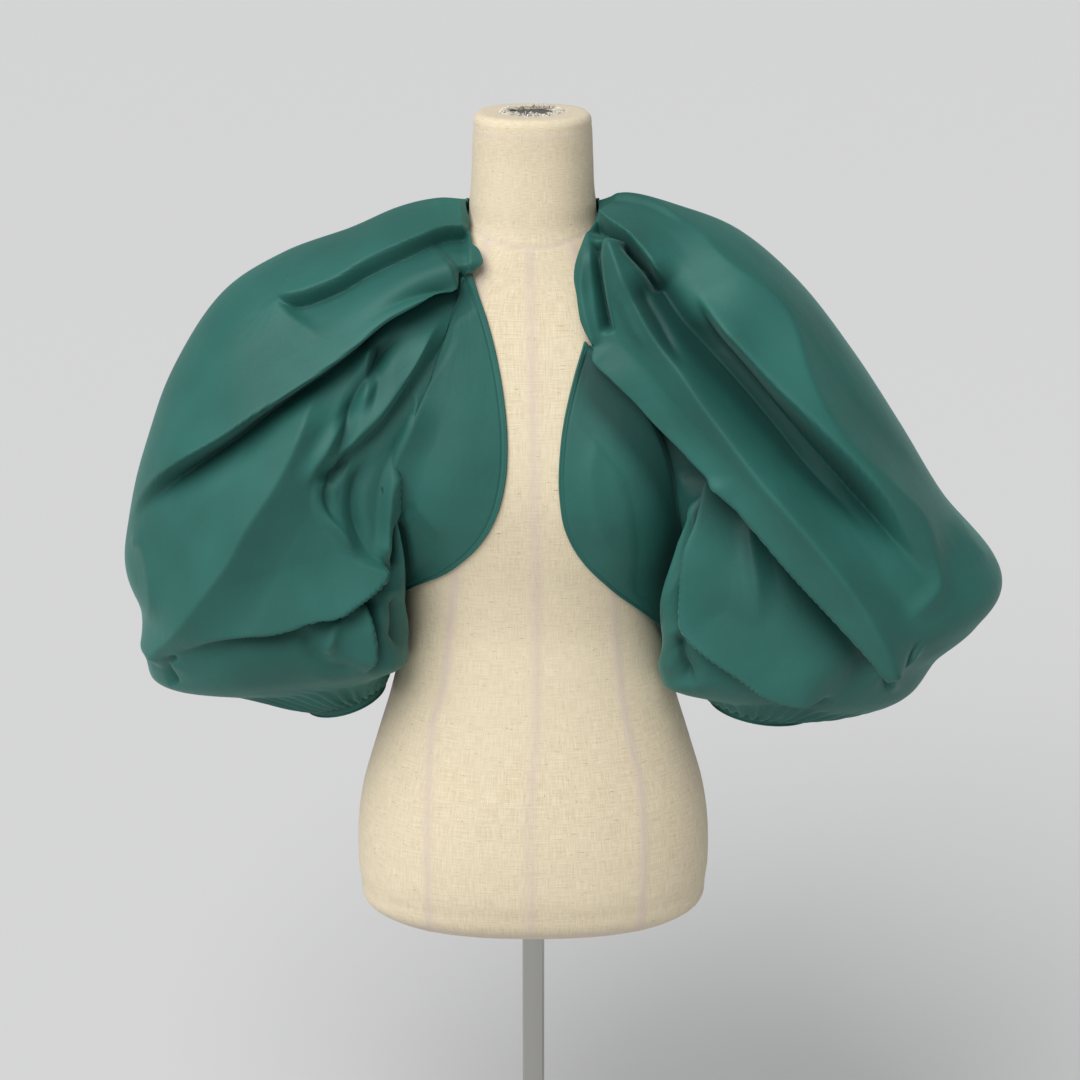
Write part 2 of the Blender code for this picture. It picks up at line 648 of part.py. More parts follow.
def material(name):
    colour, roughness, metallic = COLOURS[name]
    made = bpy.data.materials.new(name)
    made.use_nodes = True
    shader = made.node_tree.nodes["Principled BSDF"]
    shader.inputs["Base Color"].default_value = (*colour, 1)
    shader.inputs["Roughness"].default_value = roughness
    shader.inputs["Metallic"].default_value = metallic
    made.diffuse_color = (*colour, 1)
    return made


def main():
    for thing in list(bpy.data.objects):
        bpy.data.objects.remove(thing)
    parts = bpy.data.collections.new("bolero on a dress form")
    bpy.context.scene.collection.children.link(parts)
    dress_form(parts, material("linen"))
    neck_plate(parts, material("neck_plate"))
    pole(parts, material("steel"))
    base(parts, material("steel"))

    sides = (("left", 1, LEFT_RINGS, LEFT_SEAM, LEFT_FOLDS, LEFT_EDGE, 0),
             ("right", -1, RIGHT_RINGS, RIGHT_SEAM, RIGHT_FOLDS, RIGHT_EDGE, -1))
    grids, normals = {}, {}
    for name, side, rings, seam_line, folds, edge, _ in sides:
        seam = seam_ring(seam_line, BACK_SEAM, side)
        sleeve = sleeve_points(rings, seam, folds, side, SLEEVE_ROWS)
        front = front_points(edge, FRONT_STARTS[name], folds, side)
        cuff = cuff_points(sleeve)
        grids.update({"sleeve_" + name: sleeve, "front_" + name: front, "cuff_" + name: cuff})
        normals["sleeve_" + name] = -side * surface_normals(sleeve, True)
        normals["front_" + name] = side * surface_normals(front, False)
        normals["cuff_" + name] = -side * surface_normals(cuff, True)
    grids["back"] = back_points({1: LEFT_EDGE[-1][1] * MM, -1: RIGHT_EDGE[-1][1] * MM})
    normals["back"] = surface_normals(grids["back"], False)
    for name, _, _, _, _, _, column in sides:
        sleeve, cuff = normals["sleeve_" + name], normals["cuff_" + name]
        share_seam_normals(sleeve, FRONT_STARTS[name], normals["front_" + name], normals["back"], column)
        sleeve[-1] = cuff[0] = unit(sleeve[-1] + cuff[0])
    for name, points in grids.items():
        closed = not name.startswith(("front", "back"))
        cloth(name, points, normals[name], closed, parts, material("taffeta"))


main()
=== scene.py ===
"""Looks of a cropped bolero with pleated balloon sleeves on a linen dress form.

Metres, +Z up, front towards -Y, the wearer's left at +X.  Tables are in
millimetres: "out" is the distance sideways from the form's axis.
"""
import math

import bpy
import numpy as np
from bpy.props import FloatProperty, FloatVectorProperty, IntProperty, PointerProperty
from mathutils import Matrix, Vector


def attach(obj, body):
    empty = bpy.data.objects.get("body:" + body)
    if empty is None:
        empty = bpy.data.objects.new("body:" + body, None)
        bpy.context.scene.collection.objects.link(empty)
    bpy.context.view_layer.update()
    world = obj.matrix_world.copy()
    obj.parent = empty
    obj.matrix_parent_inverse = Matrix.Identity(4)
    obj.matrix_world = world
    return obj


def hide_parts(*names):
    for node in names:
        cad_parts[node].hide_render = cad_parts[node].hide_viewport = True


bl_info = {
    "name": "Balloon Sleeve Bolero on a Dress Form",
    "version": (1, 0, 0),
    "blender": (4, 5, 0),
    "location": "View3D > Sidebar > Bolero",
    "description": "Builds the cloth, the form's cover, the stand's finish and a plain studio",
    "category": "Add Mesh",
}

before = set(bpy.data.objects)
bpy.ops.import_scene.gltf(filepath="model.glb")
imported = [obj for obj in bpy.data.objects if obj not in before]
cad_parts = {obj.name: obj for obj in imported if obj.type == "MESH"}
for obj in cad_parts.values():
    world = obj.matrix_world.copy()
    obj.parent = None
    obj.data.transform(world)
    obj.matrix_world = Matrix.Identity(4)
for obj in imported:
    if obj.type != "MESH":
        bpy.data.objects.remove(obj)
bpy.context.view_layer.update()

MM = 0.001
# How far the cloth lies off the form: ahead, at the sides, and more on the shoulders
EASE = 2.6 * MM
SIDE_EASE = 5.5 * MM
SHOULDER_EASE = 4 * MM
SHOULDER_TOP = 1.128
SHOULDER_FALL = 25 * MM
SHOULDER_MIDDLE = 1.090
SHOULDER_SPREAD = 28 * MM
FRONT_STEPS, BACK_STEPS = 28, 16   # scale of the seam tables' first column
FORM_BOTTOM, FORM_TOP = 0.431, 1.218
NECK_HOLE_RADIUS = 26 * MM
POLE_HOLE_RADIUS = 11.4 * MM
UNDERSIDE, POLE_HOLE_TOP = 0.4312, 0.450
COVER_STEPS, COVER_ROWS = 260, 300
COVER_CLOSENESS = 0.97     # rings of the cover are a little closer near its top

# Places on the front are given as they are seen from this eye point, on the
# upright plane through the form's axis.
EYE = np.array([0.0067, -2.4452, 1.6045])
CAMERA_PITCH = math.radians(18)
LENS, SENSOR = 90, 36
SIGHT_STEPS = 6            # steps that find the cloth behind a seen place

# Soft daylight: one broad source ahead, above and to the picture's left
SKY_COLOUR = (0.95, 0.97, 1.0)
WORLD_STRENGTH = 0.25
SUN_STRENGTH = 3.5
SUN_WIDTH = 52
SUN_FROM = (-0.58, -0.93, 1.22)
FLOOR_REACH = 40.0

# Sections of the form: height, half width, depth in front and behind the axis
FORM_SECTIONS = (
    (431, 150, 82, 88), (440, 163, 93, 102), (465, 170, 104, 114), (510, 172, 110, 121),
    (560, 166, 109, 117), (610, 152, 104, 104), (660, 137, 98, 89), (710, 126, 94, 78),
    (740, 123, 93, 75), (780, 127, 98, 78), (830, 137, 108, 84), (880, 144, 114, 90),
    (930, 149, 110, 96), (980, 160, 98, 100), (1020, 168, 86, 99), (1050, 158, 76, 92),
    (1075, 124, 68, 82), (1095, 86, 63, 72), (1115, 63, 58, 62), (1140, 57.5, 56, 56),
    (1180, 55, 54, 53), (1206, 53.5, 54, 51), (1215, 52, 52.5, 49.5), (1218, 49, 50, 47),
)
SECTION_POWER = 2.25
BUST = {"out": 82, "height": 885, "swell": 9, "width": 48, "reach": 60}

# Rings of the sleeves: outer point, bend, inner point, bulge in front and behind
RIGHT_RINGS = (
    (60, 1138, 62, 985, 134, 776, 90, 88), (88, 1139, 92, 985, 141, 772, 102, 100),
    (125, 1130, 125, 985, 145, 765, 117, 114), (170, 1109, 160, 965, 144, 757, 130, 126),
    (232, 1085, 200, 935, 138, 748, 142, 138), (287, 1050, 225, 905, 131, 740, 149, 145),
    (328, 993, 238, 868, 128, 731, 152, 148), (356, 928, 246, 828, 128, 724, 152, 148),
    (386, 810, 254, 785, 128, 717, 147, 145), (373, 752, 248, 745, 129, 711, 138, 138),
    (371, 699, 244, 722, 131, 705, 124, 126), (360, 678, 240, 702, 134, 699, 106, 108),
    (306, 672, 216, 687, 136, 692, 88, 92), (248, 665, 195, 674, 140, 683, 71, 75),
    (222, 656, 184, 663, 146, 675, 54, 60),
)
LEFT_RINGS = (
    (60, 1137, 62, 985, 130, 736, 92, 88), (88, 1143, 95, 985, 139, 732, 105, 100),
    (130, 1133, 130, 980, 147, 726, 121, 114), (190, 1108, 172, 955, 149, 721, 136, 126),
    (249, 1057, 210, 920, 144, 715, 148, 138), (301, 991, 238, 880, 139, 709, 154, 145),
    (347, 922, 260, 838, 133, 703, 155, 148), (391, 852, 278, 800, 131, 697, 153, 148),
    (444, 787, 296, 762, 132, 691, 147, 145), (428, 746, 288, 736, 135, 685, 138, 138),
    (392, 710, 270, 712, 140, 680, 124, 126), (368, 670, 258, 690, 148, 676, 106, 110),
    (338, 653, 246, 673, 157, 672, 88, 92), (302, 657, 236, 661, 165, 667, 73, 76),
    (275, 651, 224, 652, 172, 662, 54, 60),
)
RING_POWER = 0.86
SEAM_SPREAD = 4.0          # rings over which the raglan seam's shape dies out
# How far the sleeves' inner sides lie over the form's front.  The pairs here and
# below are where a change begins and over how much: in rings, in the ring's
# width, and else in shares of the piece's length.
HUG = {-1: 54 * MM, 1: 64 * MM}
HUG_FADE = (9, 4)
HUG_PLACE = (0.6, 0.25)
SETTLED = (0.88, 0.08)     # the folds die out above the cuff
GATHERED, GATHERS_END = (0.80, 0.12), 0.03
ROLLED_UNDER, ROLL_END = (0.84, 0.09), 0.05
CUFF_ROLL = 8 * MM         # how far the gathers sink round the cuff
CUFF_HEIGHT = 12 * MM
CUFF_ROWS = 9
CUFF_SWELL = 1.0 * MM
CUFF_EDGE_RADIUS = 1.0 * MM
# Beside a raglan seam the normals turn towards the seam's own point times
# SEAM_OUTWARD, which faces off the form; SEAM_BLEND is where that ends
SEAM_BLEND = 0.10
SEAM_OUTWARD = np.array([1.0, 1.15, 0.0])
SEAM_UPWARD = np.array([0, 0, 0.02])
SEAM_SHARES = (0.5, 0.25)  # beside a front, and elsewhere

# Raglan seams: step, angle round the form from its side, height, lift
RIGHT_SEAM = (
    (0, 0, 1138, 0), (2, 22, 1130, 2), (4, 39, 1116, 4), (5, 49, 1109, 5), (6, 58, 1105, 6),
    (7, 64, 1099, 7), (8, 67, 1093, 8), (9, 64, 1081, 8), (10, 67, 1070, 9), (12, 68, 1041, 11),
    (14, 65, 1010, 13), (18, 55, 950, 22), (22, 40, 888, 30), (25, 22, 836, 20), (28, 0, 776, 0),
)
LEFT_SEAM = (
    (0, 0, 1137, 0), (2, 25, 1127, 2), (4, 58, 1109, 5), (6, 75, 1083, 7), (7, 77, 1068, 8),
    (8, 78, 1045, 9), (9, 75, 1024, 9), (11, 70, 998, 11), (13, 61, 974, 13), (15, 52, 945, 15),
    (17, 45, 911, 17), (19, 40, 875, 17), (21, 33, 841, 15), (23, 26, 810, 11), (28, 0, 736, 0),
)
BACK_SEAM = (
    (0, 0, 1138, 0), (3, 38, 1105, 4), (7, 60, 1000, 11), (11, 40, 890, 14), (14, 18, 812, 9),
    (16, 0, 776, 0),
)
RIGHT_EDGE = (
    (57, 1068), (51, 1048), (42, 1020), (34, 986), (28, 948), (25, 908), (27, 868),
    (36, 832), (53, 803), (80, 779), (106, 767), (131, 757),
)
LEFT_EDGE = (
    (49, 1004), (39, 968), (30, 926), (26, 888),
    (26, 853), (32, 818), (49, 787), (77, 759), (105, 738), (131, 718),
)
FRONT_START = 9            # the seam's step where the fronts begin
TUCKED = 1.08              # a front's width, with what runs on under the sleeve
TUCK_SLOPE = 0.05
EDGE_CLOSENESS = 1.5       # how much finer the grid is near a front's edge
HEM_TURN = (0.93, 0.07)
HEM_END_ANGLE = 9
PANEL_ROUNDING = 4 * MM
DEEPEST_DENT = 1.2 * MM
FOLDS_RISE, FOLDS_FALL = 0.35, 0.12
STITCH_PLACE, STITCH_WIDTH, STITCH_DEPTH = 4 * MM, 0.9 * MM, 0.8 * MM
CENTRE_BACK_DROP = 14 * MM
BACK_RIPPLE = 1.2 * MM
EDGE_INSET = 0.7 * MM
NECK_INSET, BACK_NECK_INSET = 0.8 * MM, 0.5 * MM
NECK_EDGE_RADIUS = 1.1 * MM
TUBE_UP = np.array([0.31, -0.17, 0.93])    # a direction that no edge follows
TURNED_IN = 1.02           # a panel's area, with its turned edges

# Folds: height, width of the soft side and of the sharp side, depth of the
# trough under the sharp side and how far it runs, the shares of the line where
# the fold comes in and goes out, and the line.  Walking along the line, away
# from the neck or down, the sharp side is on the wearer's own inner side of it.
# A side narrower than ROLLED rolls under as a layer's edge does, and leans over
# the trough; a wider one is a flat plane.
ROLLED = 11
LEAN = 0.27
CREST_ROUNDING = 1.6
PLANE_POWER, TROUGH_POWER = 1.7, 1.5
LINE_STEPS, SEAM_STEPS = 5, 6      # points read for each point of a fold's and a seam's line
FACING_MIDDLE, FACING_GAIN = 0.25, 1.6
PAINTED_SHADE_DEPTH = 18.0        # millimetres at which a hollow's painted shade is at its darkest
PAINTED_SHADE_SHARE = (0.02, 0.30, 0.31)  # of the cloth's red, green and blue that is left under the darkest painted shade
RIGHT_FOLDS = {
    "top_strip": (3, 10, 4, 3, 8, 0.3, 0.1, ((94, 1134), (76, 1136), (59, 1135))),
    "fold_one": (10, 44, 6, 9, 66, 0.03, 0.14, (
        (58, 1106), (82, 1104), (112, 1091), (149, 1074), (178, 1057), (202, 1047), (221, 1042),
        (235, 1044), (243, 1051))),
    "hook_valley": (4, 22, 12, 0, 10, 0.15, 0.4, ((241, 1049), (229, 1033), (210, 1017), (194, 1007))),
    "main_overlap": (17, 50, 7, 15, 40, 0.03, 0.26, (
        (62, 1067), (103, 1041), (136, 1021), (164, 997), (190, 977), (218, 957), (255, 932), (283, 911),
        (325, 883), (352, 859), (383, 819))),
    "long_ridge": (17, 42, 44, 0, 10, 0.18, 0.05, (
        (189, 975), (206, 948), (226, 900), (247, 860), (271, 822), (288, 789), (316, 750), (351, 704),
        (366, 682))),
    "lower_lip": (13, 46, 7, 17, 30, 0.05, 0.4, (
        (137, 788), (146, 767), (173, 744), (187, 736), (211, 732), (244, 721), (273, 716), (304, 708),
        (325, 700), (345, 693))),
    "curl": (-7, 6, 6, 0, 10, 0.2, 0.1, ((335, 696), (345, 693), (350, 684), (350, 672), (346, 661))),
    "wrinkle_a": (8, 16, 12, 4, 12, 0.25, 0.3, ((152, 1013), (154, 986), (157, 960), (167, 934))),
    "wrinkle_b": (11, 24, 13, 6, 14, 0.25, 0.1, (
        (79, 1037), (105, 994), (124, 967), (147, 934), (167, 914), (184, 894), (195, 874))),
    "wrinkle_c": (7, 12, 14, 0, 10, 0.1, 0.3, ((195, 874), (199, 850), (193, 832), (179, 813), (169, 790))),
    "wrinkle_d": (7, 14, 12, 4, 12, 0.3, 0.3, ((170, 940), (191, 909), (209, 880), (218, 860))),
    "crumple_a": (-9, 11, 9, 0, 10, 0.3, 0.4, (
        (112, 1022), (144, 984), (166, 950), (181, 909), (190, 880))),
    "crumple_b": (-10, 10, 9, 0, 10, 0.3, 0.4, (
        (170, 909), (184, 881), (196, 860), (193, 838), (178, 820))),
    "crumple_c": (-8, 11, 11, 0, 10, 0.3, 0.4, ((150, 899), (169, 860), (167, 820), (149, 784))),
    "hump": (11, 8, 24, 0, 10, 0.25, 0.12, (
        (120, 959), (108, 948), (113, 921), (125, 894), (135, 867), (139, 840), (141, 810), (146, 784))),
    "pucker": (-16, 11, 12, 0, 10, 0.5, 0.25, ((130, 842), (129, 820), (128, 794), (126, 772))),
    "pucker_right": (4, 14, 20, 0, 10, 0.15, 0.3, ((121, 844), (116, 820), (112, 794), (110, 772))),
    "panel_crease": (2, 10, 12, 0, 10, 0.3, 0.4, ((118, 856), (103, 836), (92, 820), (88, 806))),
    "under_edge": (9, 22, 7, 11, 20, 0.2, 0.2, ((164, 754), (155, 725), (152, 696), (159, 672))),
    "underarm_shade": (-14, 18, 18, 0, 10, 0.3, 0.3, ((131, 758), (126, 729), (130, 693))),
    "under_v": (8, 12, 10, 0, 10, 0.2, 0.3, ((185, 733), (192, 716), (201, 692))),
    "under_dark": (-5, 14, 12, 0, 10, 0.2, 0.2, ((219, 721), (213, 698), (196, 680), (169, 680))),
    "outer_facet": (4, 14, 14, 0, 10, 0.1, 0.4, ((386, 809), (370, 804), (365, 760), (369, 719))),
}
LEFT_FOLDS = {
    "top_crease": (4, 12, 5, 2, 10, 0.15, 0.4, ((65, 1137), (88, 1139), (115, 1131), (144, 1109))),
    "neck_over": (12, 26, 5, 13, 16, 0.04, 0.22, ((58, 1116), (80, 1101), (107, 1076), (121, 1057))),
    "neck_hole": (-20, 9, 10, 0, 10, 0.15, 0.1, ((82, 1097), (99, 1081), (110, 1066), (115, 1053))),
    "broad_fold": (17, 44, 7, 20, 38, 0.16, 0.34, (
        (144, 1047), (156, 1030), (193, 990), (228, 950), (262, 912), (293, 877), (322, 842), (351, 799),
        (374, 768))),
    "broad_ridge": (10, 34, 32, 0, 10, 0.22, 0.16, (
        (98, 1130), (140, 1115), (174, 1077), (215, 1046), (236, 1019), (251, 973), (269, 934), (298, 895),
        (333, 860), (362, 831), (384, 795), (396, 773))),
    "pleat_a": (6, 11, 11, 0, 10, 0.1, 0.1, ((53, 1111), (47, 1085), (45, 1053), (51, 1020), (59, 996))),
    "slot": (-17, 6, 7, 0, 10, 0.08, 0.06, ((61, 1100), (62, 1070), (65, 1041), (70, 1012))),
    "main_ridge": (27, 36, 32, 0, 10, 0.04, 0.03, (
        (64, 1104), (91, 1050), (118, 1006), (150, 963), (184, 918), (219, 870), (256, 822), (296, 768),
        (332, 716), (354, 680))),
    "ridge_drop": (7, 20, 10, 22, 58, 0.04, 0.04, (
        (50, 1002), (57, 985), (75, 968), (94, 950), (111, 931), (129, 913), (150, 890), (177, 862),
        (214, 818), (250, 774), (297, 723), (344, 674))),
    "shadow_valley": (-20, 28, 62, 0, 10, 0.08, 0.4, (
        (104, 1078), (118, 1058), (144, 1020), (181, 980), (216, 940), (250, 902), (281, 867), (310, 832),
        (339, 789))),
    "neck_crease": (-9, 8, 8, 0, 10, 0.25, 0.4, (
        (97, 1070), (103, 1045), (116, 1022), (129, 999), (148, 972))),
    "ridge_wrinkle": (3, 9, 9, 0, 10, 0.3, 0.3, ((76, 1062), (92, 1025), (109, 994))),
    "side_fold": (15, 36, 10, 14, 28, 0.05, 0.12, (
        (158, 880), (157, 831), (148, 795), (145, 760), (146, 724), (165, 701), (199, 677), (225, 658),
        (262, 648), (297, 648))),
    "underarm_shade": (-14, 18, 18, 0, 10, 0.3, 0.3, ((130, 717), (140, 686), (158, 657))),
    "inner_strip": (7, 8, 7, 0, 10, 0.2, 0.3, ((139, 876), (145, 845), (148, 815), (144, 790))),
    "flap_soft": (6, 16, 14, 0, 10, 0.3, 0.4, ((194, 845), (205, 805), (215, 760), (218, 719))),
    "outer_crease": (5, 20, 16, 0, 14, 0.3, 0.3, (
        (350, 827), (368, 809), (385, 777), (386, 759), (371, 740), (354, 721))),
    "outer_facet": (4, 14, 14, 0, 10, 0.3, 0.2, ((401, 841), (415, 813), (436, 788))),
    "notch": (5, 12, 5, 6, 10, 0.3, 0.2, ((378, 709), (359, 693), (348, 680), (346, 653))),
    "panel_soft": (2, 16, 16, 0, 10, 0.3, 0.3, ((63, 919), (54, 870), (64, 820), (83, 785))),
}
# Where a front dips in under its sleeve: a dent of at most DEEPEST_DENT, and painted shade of the sleeve's
# overhang to the fold's full depth
PANEL_FOLDS = {
    "left": {"dip_and_painted_shade": (-15, 52, 44, 0, 10, 0.1, 0.1, (
        (59, 975), (93, 930), (122, 880), (136, 810), (133, 739)))},
    "right": {},
}
# Folds of the hidden back, on the plane through the axis seen straight on
BACK_FOLDS = {
    "back_neck": (7, 26, 14, 6, 20, 0.05, 0.2, ((62, 1112), (100, 1096), (150, 1072), (195, 1040))),
    "back_upper": (11, 40, 14, 9, 28, 0.05, 0.15, (
        (70, 1085), (120, 1050), (180, 1005), (240, 965), (290, 930))),
    "back_middle": (15, 46, 36, 0, 10, 0.08, 0.08, (
        (75, 1050), (130, 985), (190, 915), (250, 850), (310, 790), (350, 745))),
    "back_over": (12, 40, 14, 12, 30, 0.1, 0.12, (
        (105, 960), (140, 905), (180, 850), (230, 795), (285, 745), (330, 715))),
    "back_wrinkle": (6, 18, 14, 3, 12, 0.3, 0.3, ((150, 985), (175, 940), (215, 905), (240, 870))),
    "back_side": (9, 26, 14, 8, 18, 0.15, 0.15, (
        (160, 850), (152, 800), (158, 760), (185, 725), (225, 700), (275, 690))),
    "back_dent": (-8, 9, 9, 0, 10, 0.2, 0.3, ((148, 890), (146, 855), (150, 820))),
    "back_low": (6, 16, 14, 0, 10, 0.3, 0.3, ((215, 775), (225, 735), (232, 700))),
}
# Seams of the form's cover, as they are seen on the front (x, height)
FRONT_COVER_SEAMS = {
    "princess_right": (
        (-42, 1100), (-51, 1044), (-66, 948), (-74, 850), (-73, 790), (-78, 738), (-87, 659), (-98, 620),
        (-103, 552), (-105, 470), (-104, 380)),
    "princess_left": (
        (36, 1098), (47, 1044), (63, 948), (69, 850), (74, 790), (78, 738), (83, 673), (93, 612),
        (106, 552), (110, 470), (105, 380)),
    "centre": (
        (-3, 1091), (-1, 996), (1, 899), (3, 765), (3, 633), (1, 580), (-4, 525), (-3, 455), (-2, 370)),
}
BACK_COVER_SEAMS = {
    "back_right": ((-40, 1118), (-60, 1000), (-66, 860), (-58, 740), (-80, 610), (-96, 500), (-92, 430)),
    "back_left": ((40, 1118), (60, 1000), (66, 860), (58, 740), (80, 610), (96, 500), (92, 430)),
    "back_centre": ((0, 1120), (0, 430)),
}
NECK_SEAM_HEIGHT = 1.122
NECK_SEAM_DIP, NECK_SEAM_REACH = 17 * MM, 64 * MM
RIM_SEAM_HEIGHT = 1.203
HEM_SEAM_HEIGHT = 0.437
# Width and strength of each kind of seam that shows through the cover
COVER_SEAM = (4.2 * MM, 0.62)
NECK_SEAM = (2.2 * MM, 0.55)
RIM_SEAM = (2.5 * MM, 0.35)
HEM_SEAM = (6 * MM, 0.5)
TOP_SHADE = 0.12
SEAM_RELIEF = 0.5 * MM
GROOVE_WIDTH, GROOVE_DEPTH = 1.2 * MM, 1.0 * MM


def hermite(at, knots, values):
    """Cubic through values at knots: (2t^3-3t^2+1)a + (t^3-2t^2+t)sa' + (3t^2-2t^3)b + (t^3-t^2)sb'."""
    knots, values = np.asarray(knots, float), np.asarray(values, float)
    flat = values.ndim == 1
    if flat:
        values = values[:, None]
    slopes = np.gradient(values, knots, axis=0)
    at = np.clip(np.asarray(at, float), knots[0], knots[-1])
    left = np.clip(np.searchsorted(knots, at, side="right") - 1, 0, len(knots) - 2)
    span = (knots[left + 1] - knots[left])[..., None]
    t = (at - knots[left])[..., None] / span
    result = ((2 * t**3 - 3 * t**2 + 1) * values[left] + (t**3 - 2 * t**2 + t) * span * slopes[left]
              + (3 * t**2 - 2 * t**3) * values[left + 1] + (t**3 - t**2) * span * slopes[left + 1])
    return result[..., 0] if flat else result


def ramp(t):
    """Smooth step 3t^2 - 2t^3 from 0 to 1."""
    t = np.clip(t, 0, 1)
    return t * t * (3 - 2 * t)


def rise(at, place):
    """The smooth step that begins at place[0] and takes place[1]."""
    return ramp((at - place[0]) / place[1])


def bell(distance, width):
    """exp(-(distance / width)^2)."""
    return np.exp(-(distance / width)**2)


def between(first, last, share):
    """first * (1 - share) + last * share, row by row."""
    return first[:, None] * (1 - share) + last[:, None] * share


FORM_TABLE = np.array(FORM_SECTIONS) * MM
SEAMS = {-1: np.array(RIGHT_SEAM, float), 1: np.array(LEFT_SEAM, float)}


def form_section(z):
    """Half width, depth ahead and depth behind at a height: cubics through the sections."""
    size = hermite(z, FORM_TABLE[:, 0], FORM_TABLE[:, 1:])
    return size[..., 0], size[..., 1], size[..., 2]


def bust_swell(x, z):
    """swell * exp(-across^2 - up^2) about each bust point."""
    across = (np.abs(x) - BUST["out"] * MM) / (BUST["width"] * MM)
    up = (z - BUST["height"] * MM) / (BUST["reach"] * MM)
    return BUST["swell"] * MM * np.exp(-across**2 - up**2)


def eases(z):
    """Ease at the sides, which grows below the shoulders, and the shoulders' own bell of ease."""
    slope = SHOULDER_EASE * bell(z - SHOULDER_MIDDLE, SHOULDER_SPREAD)
    return EASE + (SIDE_EASE - EASE) * ramp((SHOULDER_TOP - z) / SHOULDER_FALL) + slope, slope


def over_form(x, z, back=False):
    """Depth of the resting cloth: (depth + ease) * (1 - |x / reach|^p)^(1/p)."""
    half, front, rear = form_section(z)
    depth = rear if back else front + bust_swell(x, z)
    side_ease, slope = eases(z)
    inside = np.clip(1 - np.abs(x / (half + side_ease))**SECTION_POWER, 0, 1)
    return (depth + EASE + slope) * inside**(1 / SECTION_POWER)


def around_form(angle, z, lift, side):
    """Superellipse point round the form; a negative angle is on the back."""
    half, front, rear = form_section(z)
    side_ease, slope = eases(z)
    power = 2 / SECTION_POWER
    x = side * (half + side_ease + lift) * np.sign(np.cos(angle)) * np.abs(np.cos(angle))**power
    depth = np.where(angle < 0, rear, front + bust_swell(x, z)) + EASE + slope + lift
    y = -np.sign(angle) * depth * np.abs(np.sin(angle))**power
    return np.stack([x, y, z + 0 * x], axis=-1)


def seen(points):
    """Places (x, z) on the plane y = 0 of points seen from EYE."""
    share = -EYE[1] / (points[..., 1] - EYE[1])
    return (EYE + (points - EYE) * share[..., None])[..., [0, 2]]


def on_front(places):
    """Angles and heights on the form of the cloth seen at the places, by fixed-point steps."""
    y = np.zeros(len(places))
    for _ in range(SIGHT_STEPS):
        share = (y - EYE[1]) / -EYE[1]
        x = EYE[0] + (places[:, 0] - EYE[0]) * share
        z = EYE[2] + (places[:, 1] - EYE[2]) * share
        y = -over_form(x, z)
    reach = form_section(z)[0] + eases(z)[0]
    return np.arccos(np.clip(np.abs(x) / reach, 0, 1)**(SECTION_POWER / 2)), z


def smooth_line(points, steps):
    """Cubics through the points, read at even steps of their numbers."""
    points = np.asarray(points, float)
    return hermite(np.linspace(0, len(points) - 1, steps), np.arange(len(points)), points)


def nearest_on(places, path):
    """Distance, side sign, share of the way and direction at the nearest point of a 2-D path."""
    start, step = path[:-1], np.diff(path, axis=0)
    length = np.hypot(step[:, 0], step[:, 1])
    travelled = np.concatenate([[0], np.cumsum(length)])
    best = np.full(len(places), np.inf)
    turn, reached, ahead = np.zeros(len(places)), np.zeros(len(places)), np.zeros((len(places), 2))
    for i in range(len(step)):
        away = places - start[i]
        along = np.clip(away @ step[i] / length[i]**2, 0, 1)
        gap = away - along[:, None] * step[i]
        distance = np.hypot(gap[:, 0], gap[:, 1])
        closer = distance < best
        best[closer] = distance[closer]
        cross = step[i, 0] * away[:, 1] - step[i, 1] * away[:, 0]
        turn[closer] = cross[closer]
        reached[closer] = ((travelled[i] + along * length[i]) / travelled[-1])[closer]
        ahead[closer] = step[i] / length[i]
    return best, turn, reached, ahead


def fold_shape(places, folds, side):
    """Height of the folds and how far their rolled edges lean over what lies below.

    Planes fall as (1 - d/w)^PLANE_POWER, rolled edges as 1 - ramp(d/w).  The third
    result is how deep the hollows below them are, in millimetres, which sets their painted shade.
    """
    shape = places.shape[:-1]
    flat = places.reshape(-1, 2)
    total, painted_shade, shift = np.zeros(len(flat)), np.zeros(len(flat)), np.zeros((len(flat), 2))
    for height, soft, sharp, trough, run, comes_in, goes_out, line in folds.values():
        rolled = sharp < ROLLED and trough > 0
        lean = LEAN * (height + trough) if rolled else 0
        path = smooth_line(line, LINE_STEPS * len(line)) * MM * np.array([side, 1])
        margin = (max(soft, sharp + run) + lean) * MM
        near = np.flatnonzero(np.all((flat > path.min(0) - margin) & (flat < path.max(0) + margin), axis=1))
        distance, turn, reached, ahead = nearest_on(flat[near], path)
        off = np.where(-turn * side > 0, distance, -distance) / MM + lean
        inner, off = off > 0, np.abs(off)
        fade = ramp(reached / comes_in) * ramp((1 - reached) / goes_out)
        rounded = np.hypot(off, CREST_ROUNDING) - CREST_ROUNDING
        plane = np.clip(1 - rounded / np.where(inner, sharp, soft), 0, 1)**PLANE_POWER
        edge = 1 - ramp(off / sharp)
        foot = ramp(off / sharp) * np.clip(1 - (off - sharp) / run, 0, 1)**TROUGH_POWER
        sunk = np.where(inner, trough * foot, 0)
        up = height * np.where(inner & rolled, edge, plane) - sunk
        total[near] += up * fade * MM
        # depth for the painted shade: the trough under a sharp side and the depth of a dent
        painted_shade[near] += (sunk + max(-height, 0) * plane) * fade
        beyond = np.clip(1 - off / soft, 0, 1)**TROUGH_POWER
        over = lean * np.where(inner, edge, beyond) * fade * MM
        shift[near] += over[:, None] * side * np.stack([ahead[:, 1], -ahead[:, 0]], axis=-1)
    return total.reshape(shape), shift.reshape(*shape, 2), painted_shade.reshape(shape)


def surface_normals(points, closed):
    """Cross product of the steps along and around a grid."""
    along = np.gradient(points, axis=0)
    if closed:
        around = (np.roll(points, -1, axis=1) - np.roll(points, 1, axis=1)) / 2
    else:
        around = np.gradient(points, axis=1)
    return unit(np.cross(along, around))


def unit(vectors):
    """Vectors divided by their lengths."""
    return vectors / np.maximum(np.linalg.norm(vectors, axis=-1, keepdims=True), 1e-9)


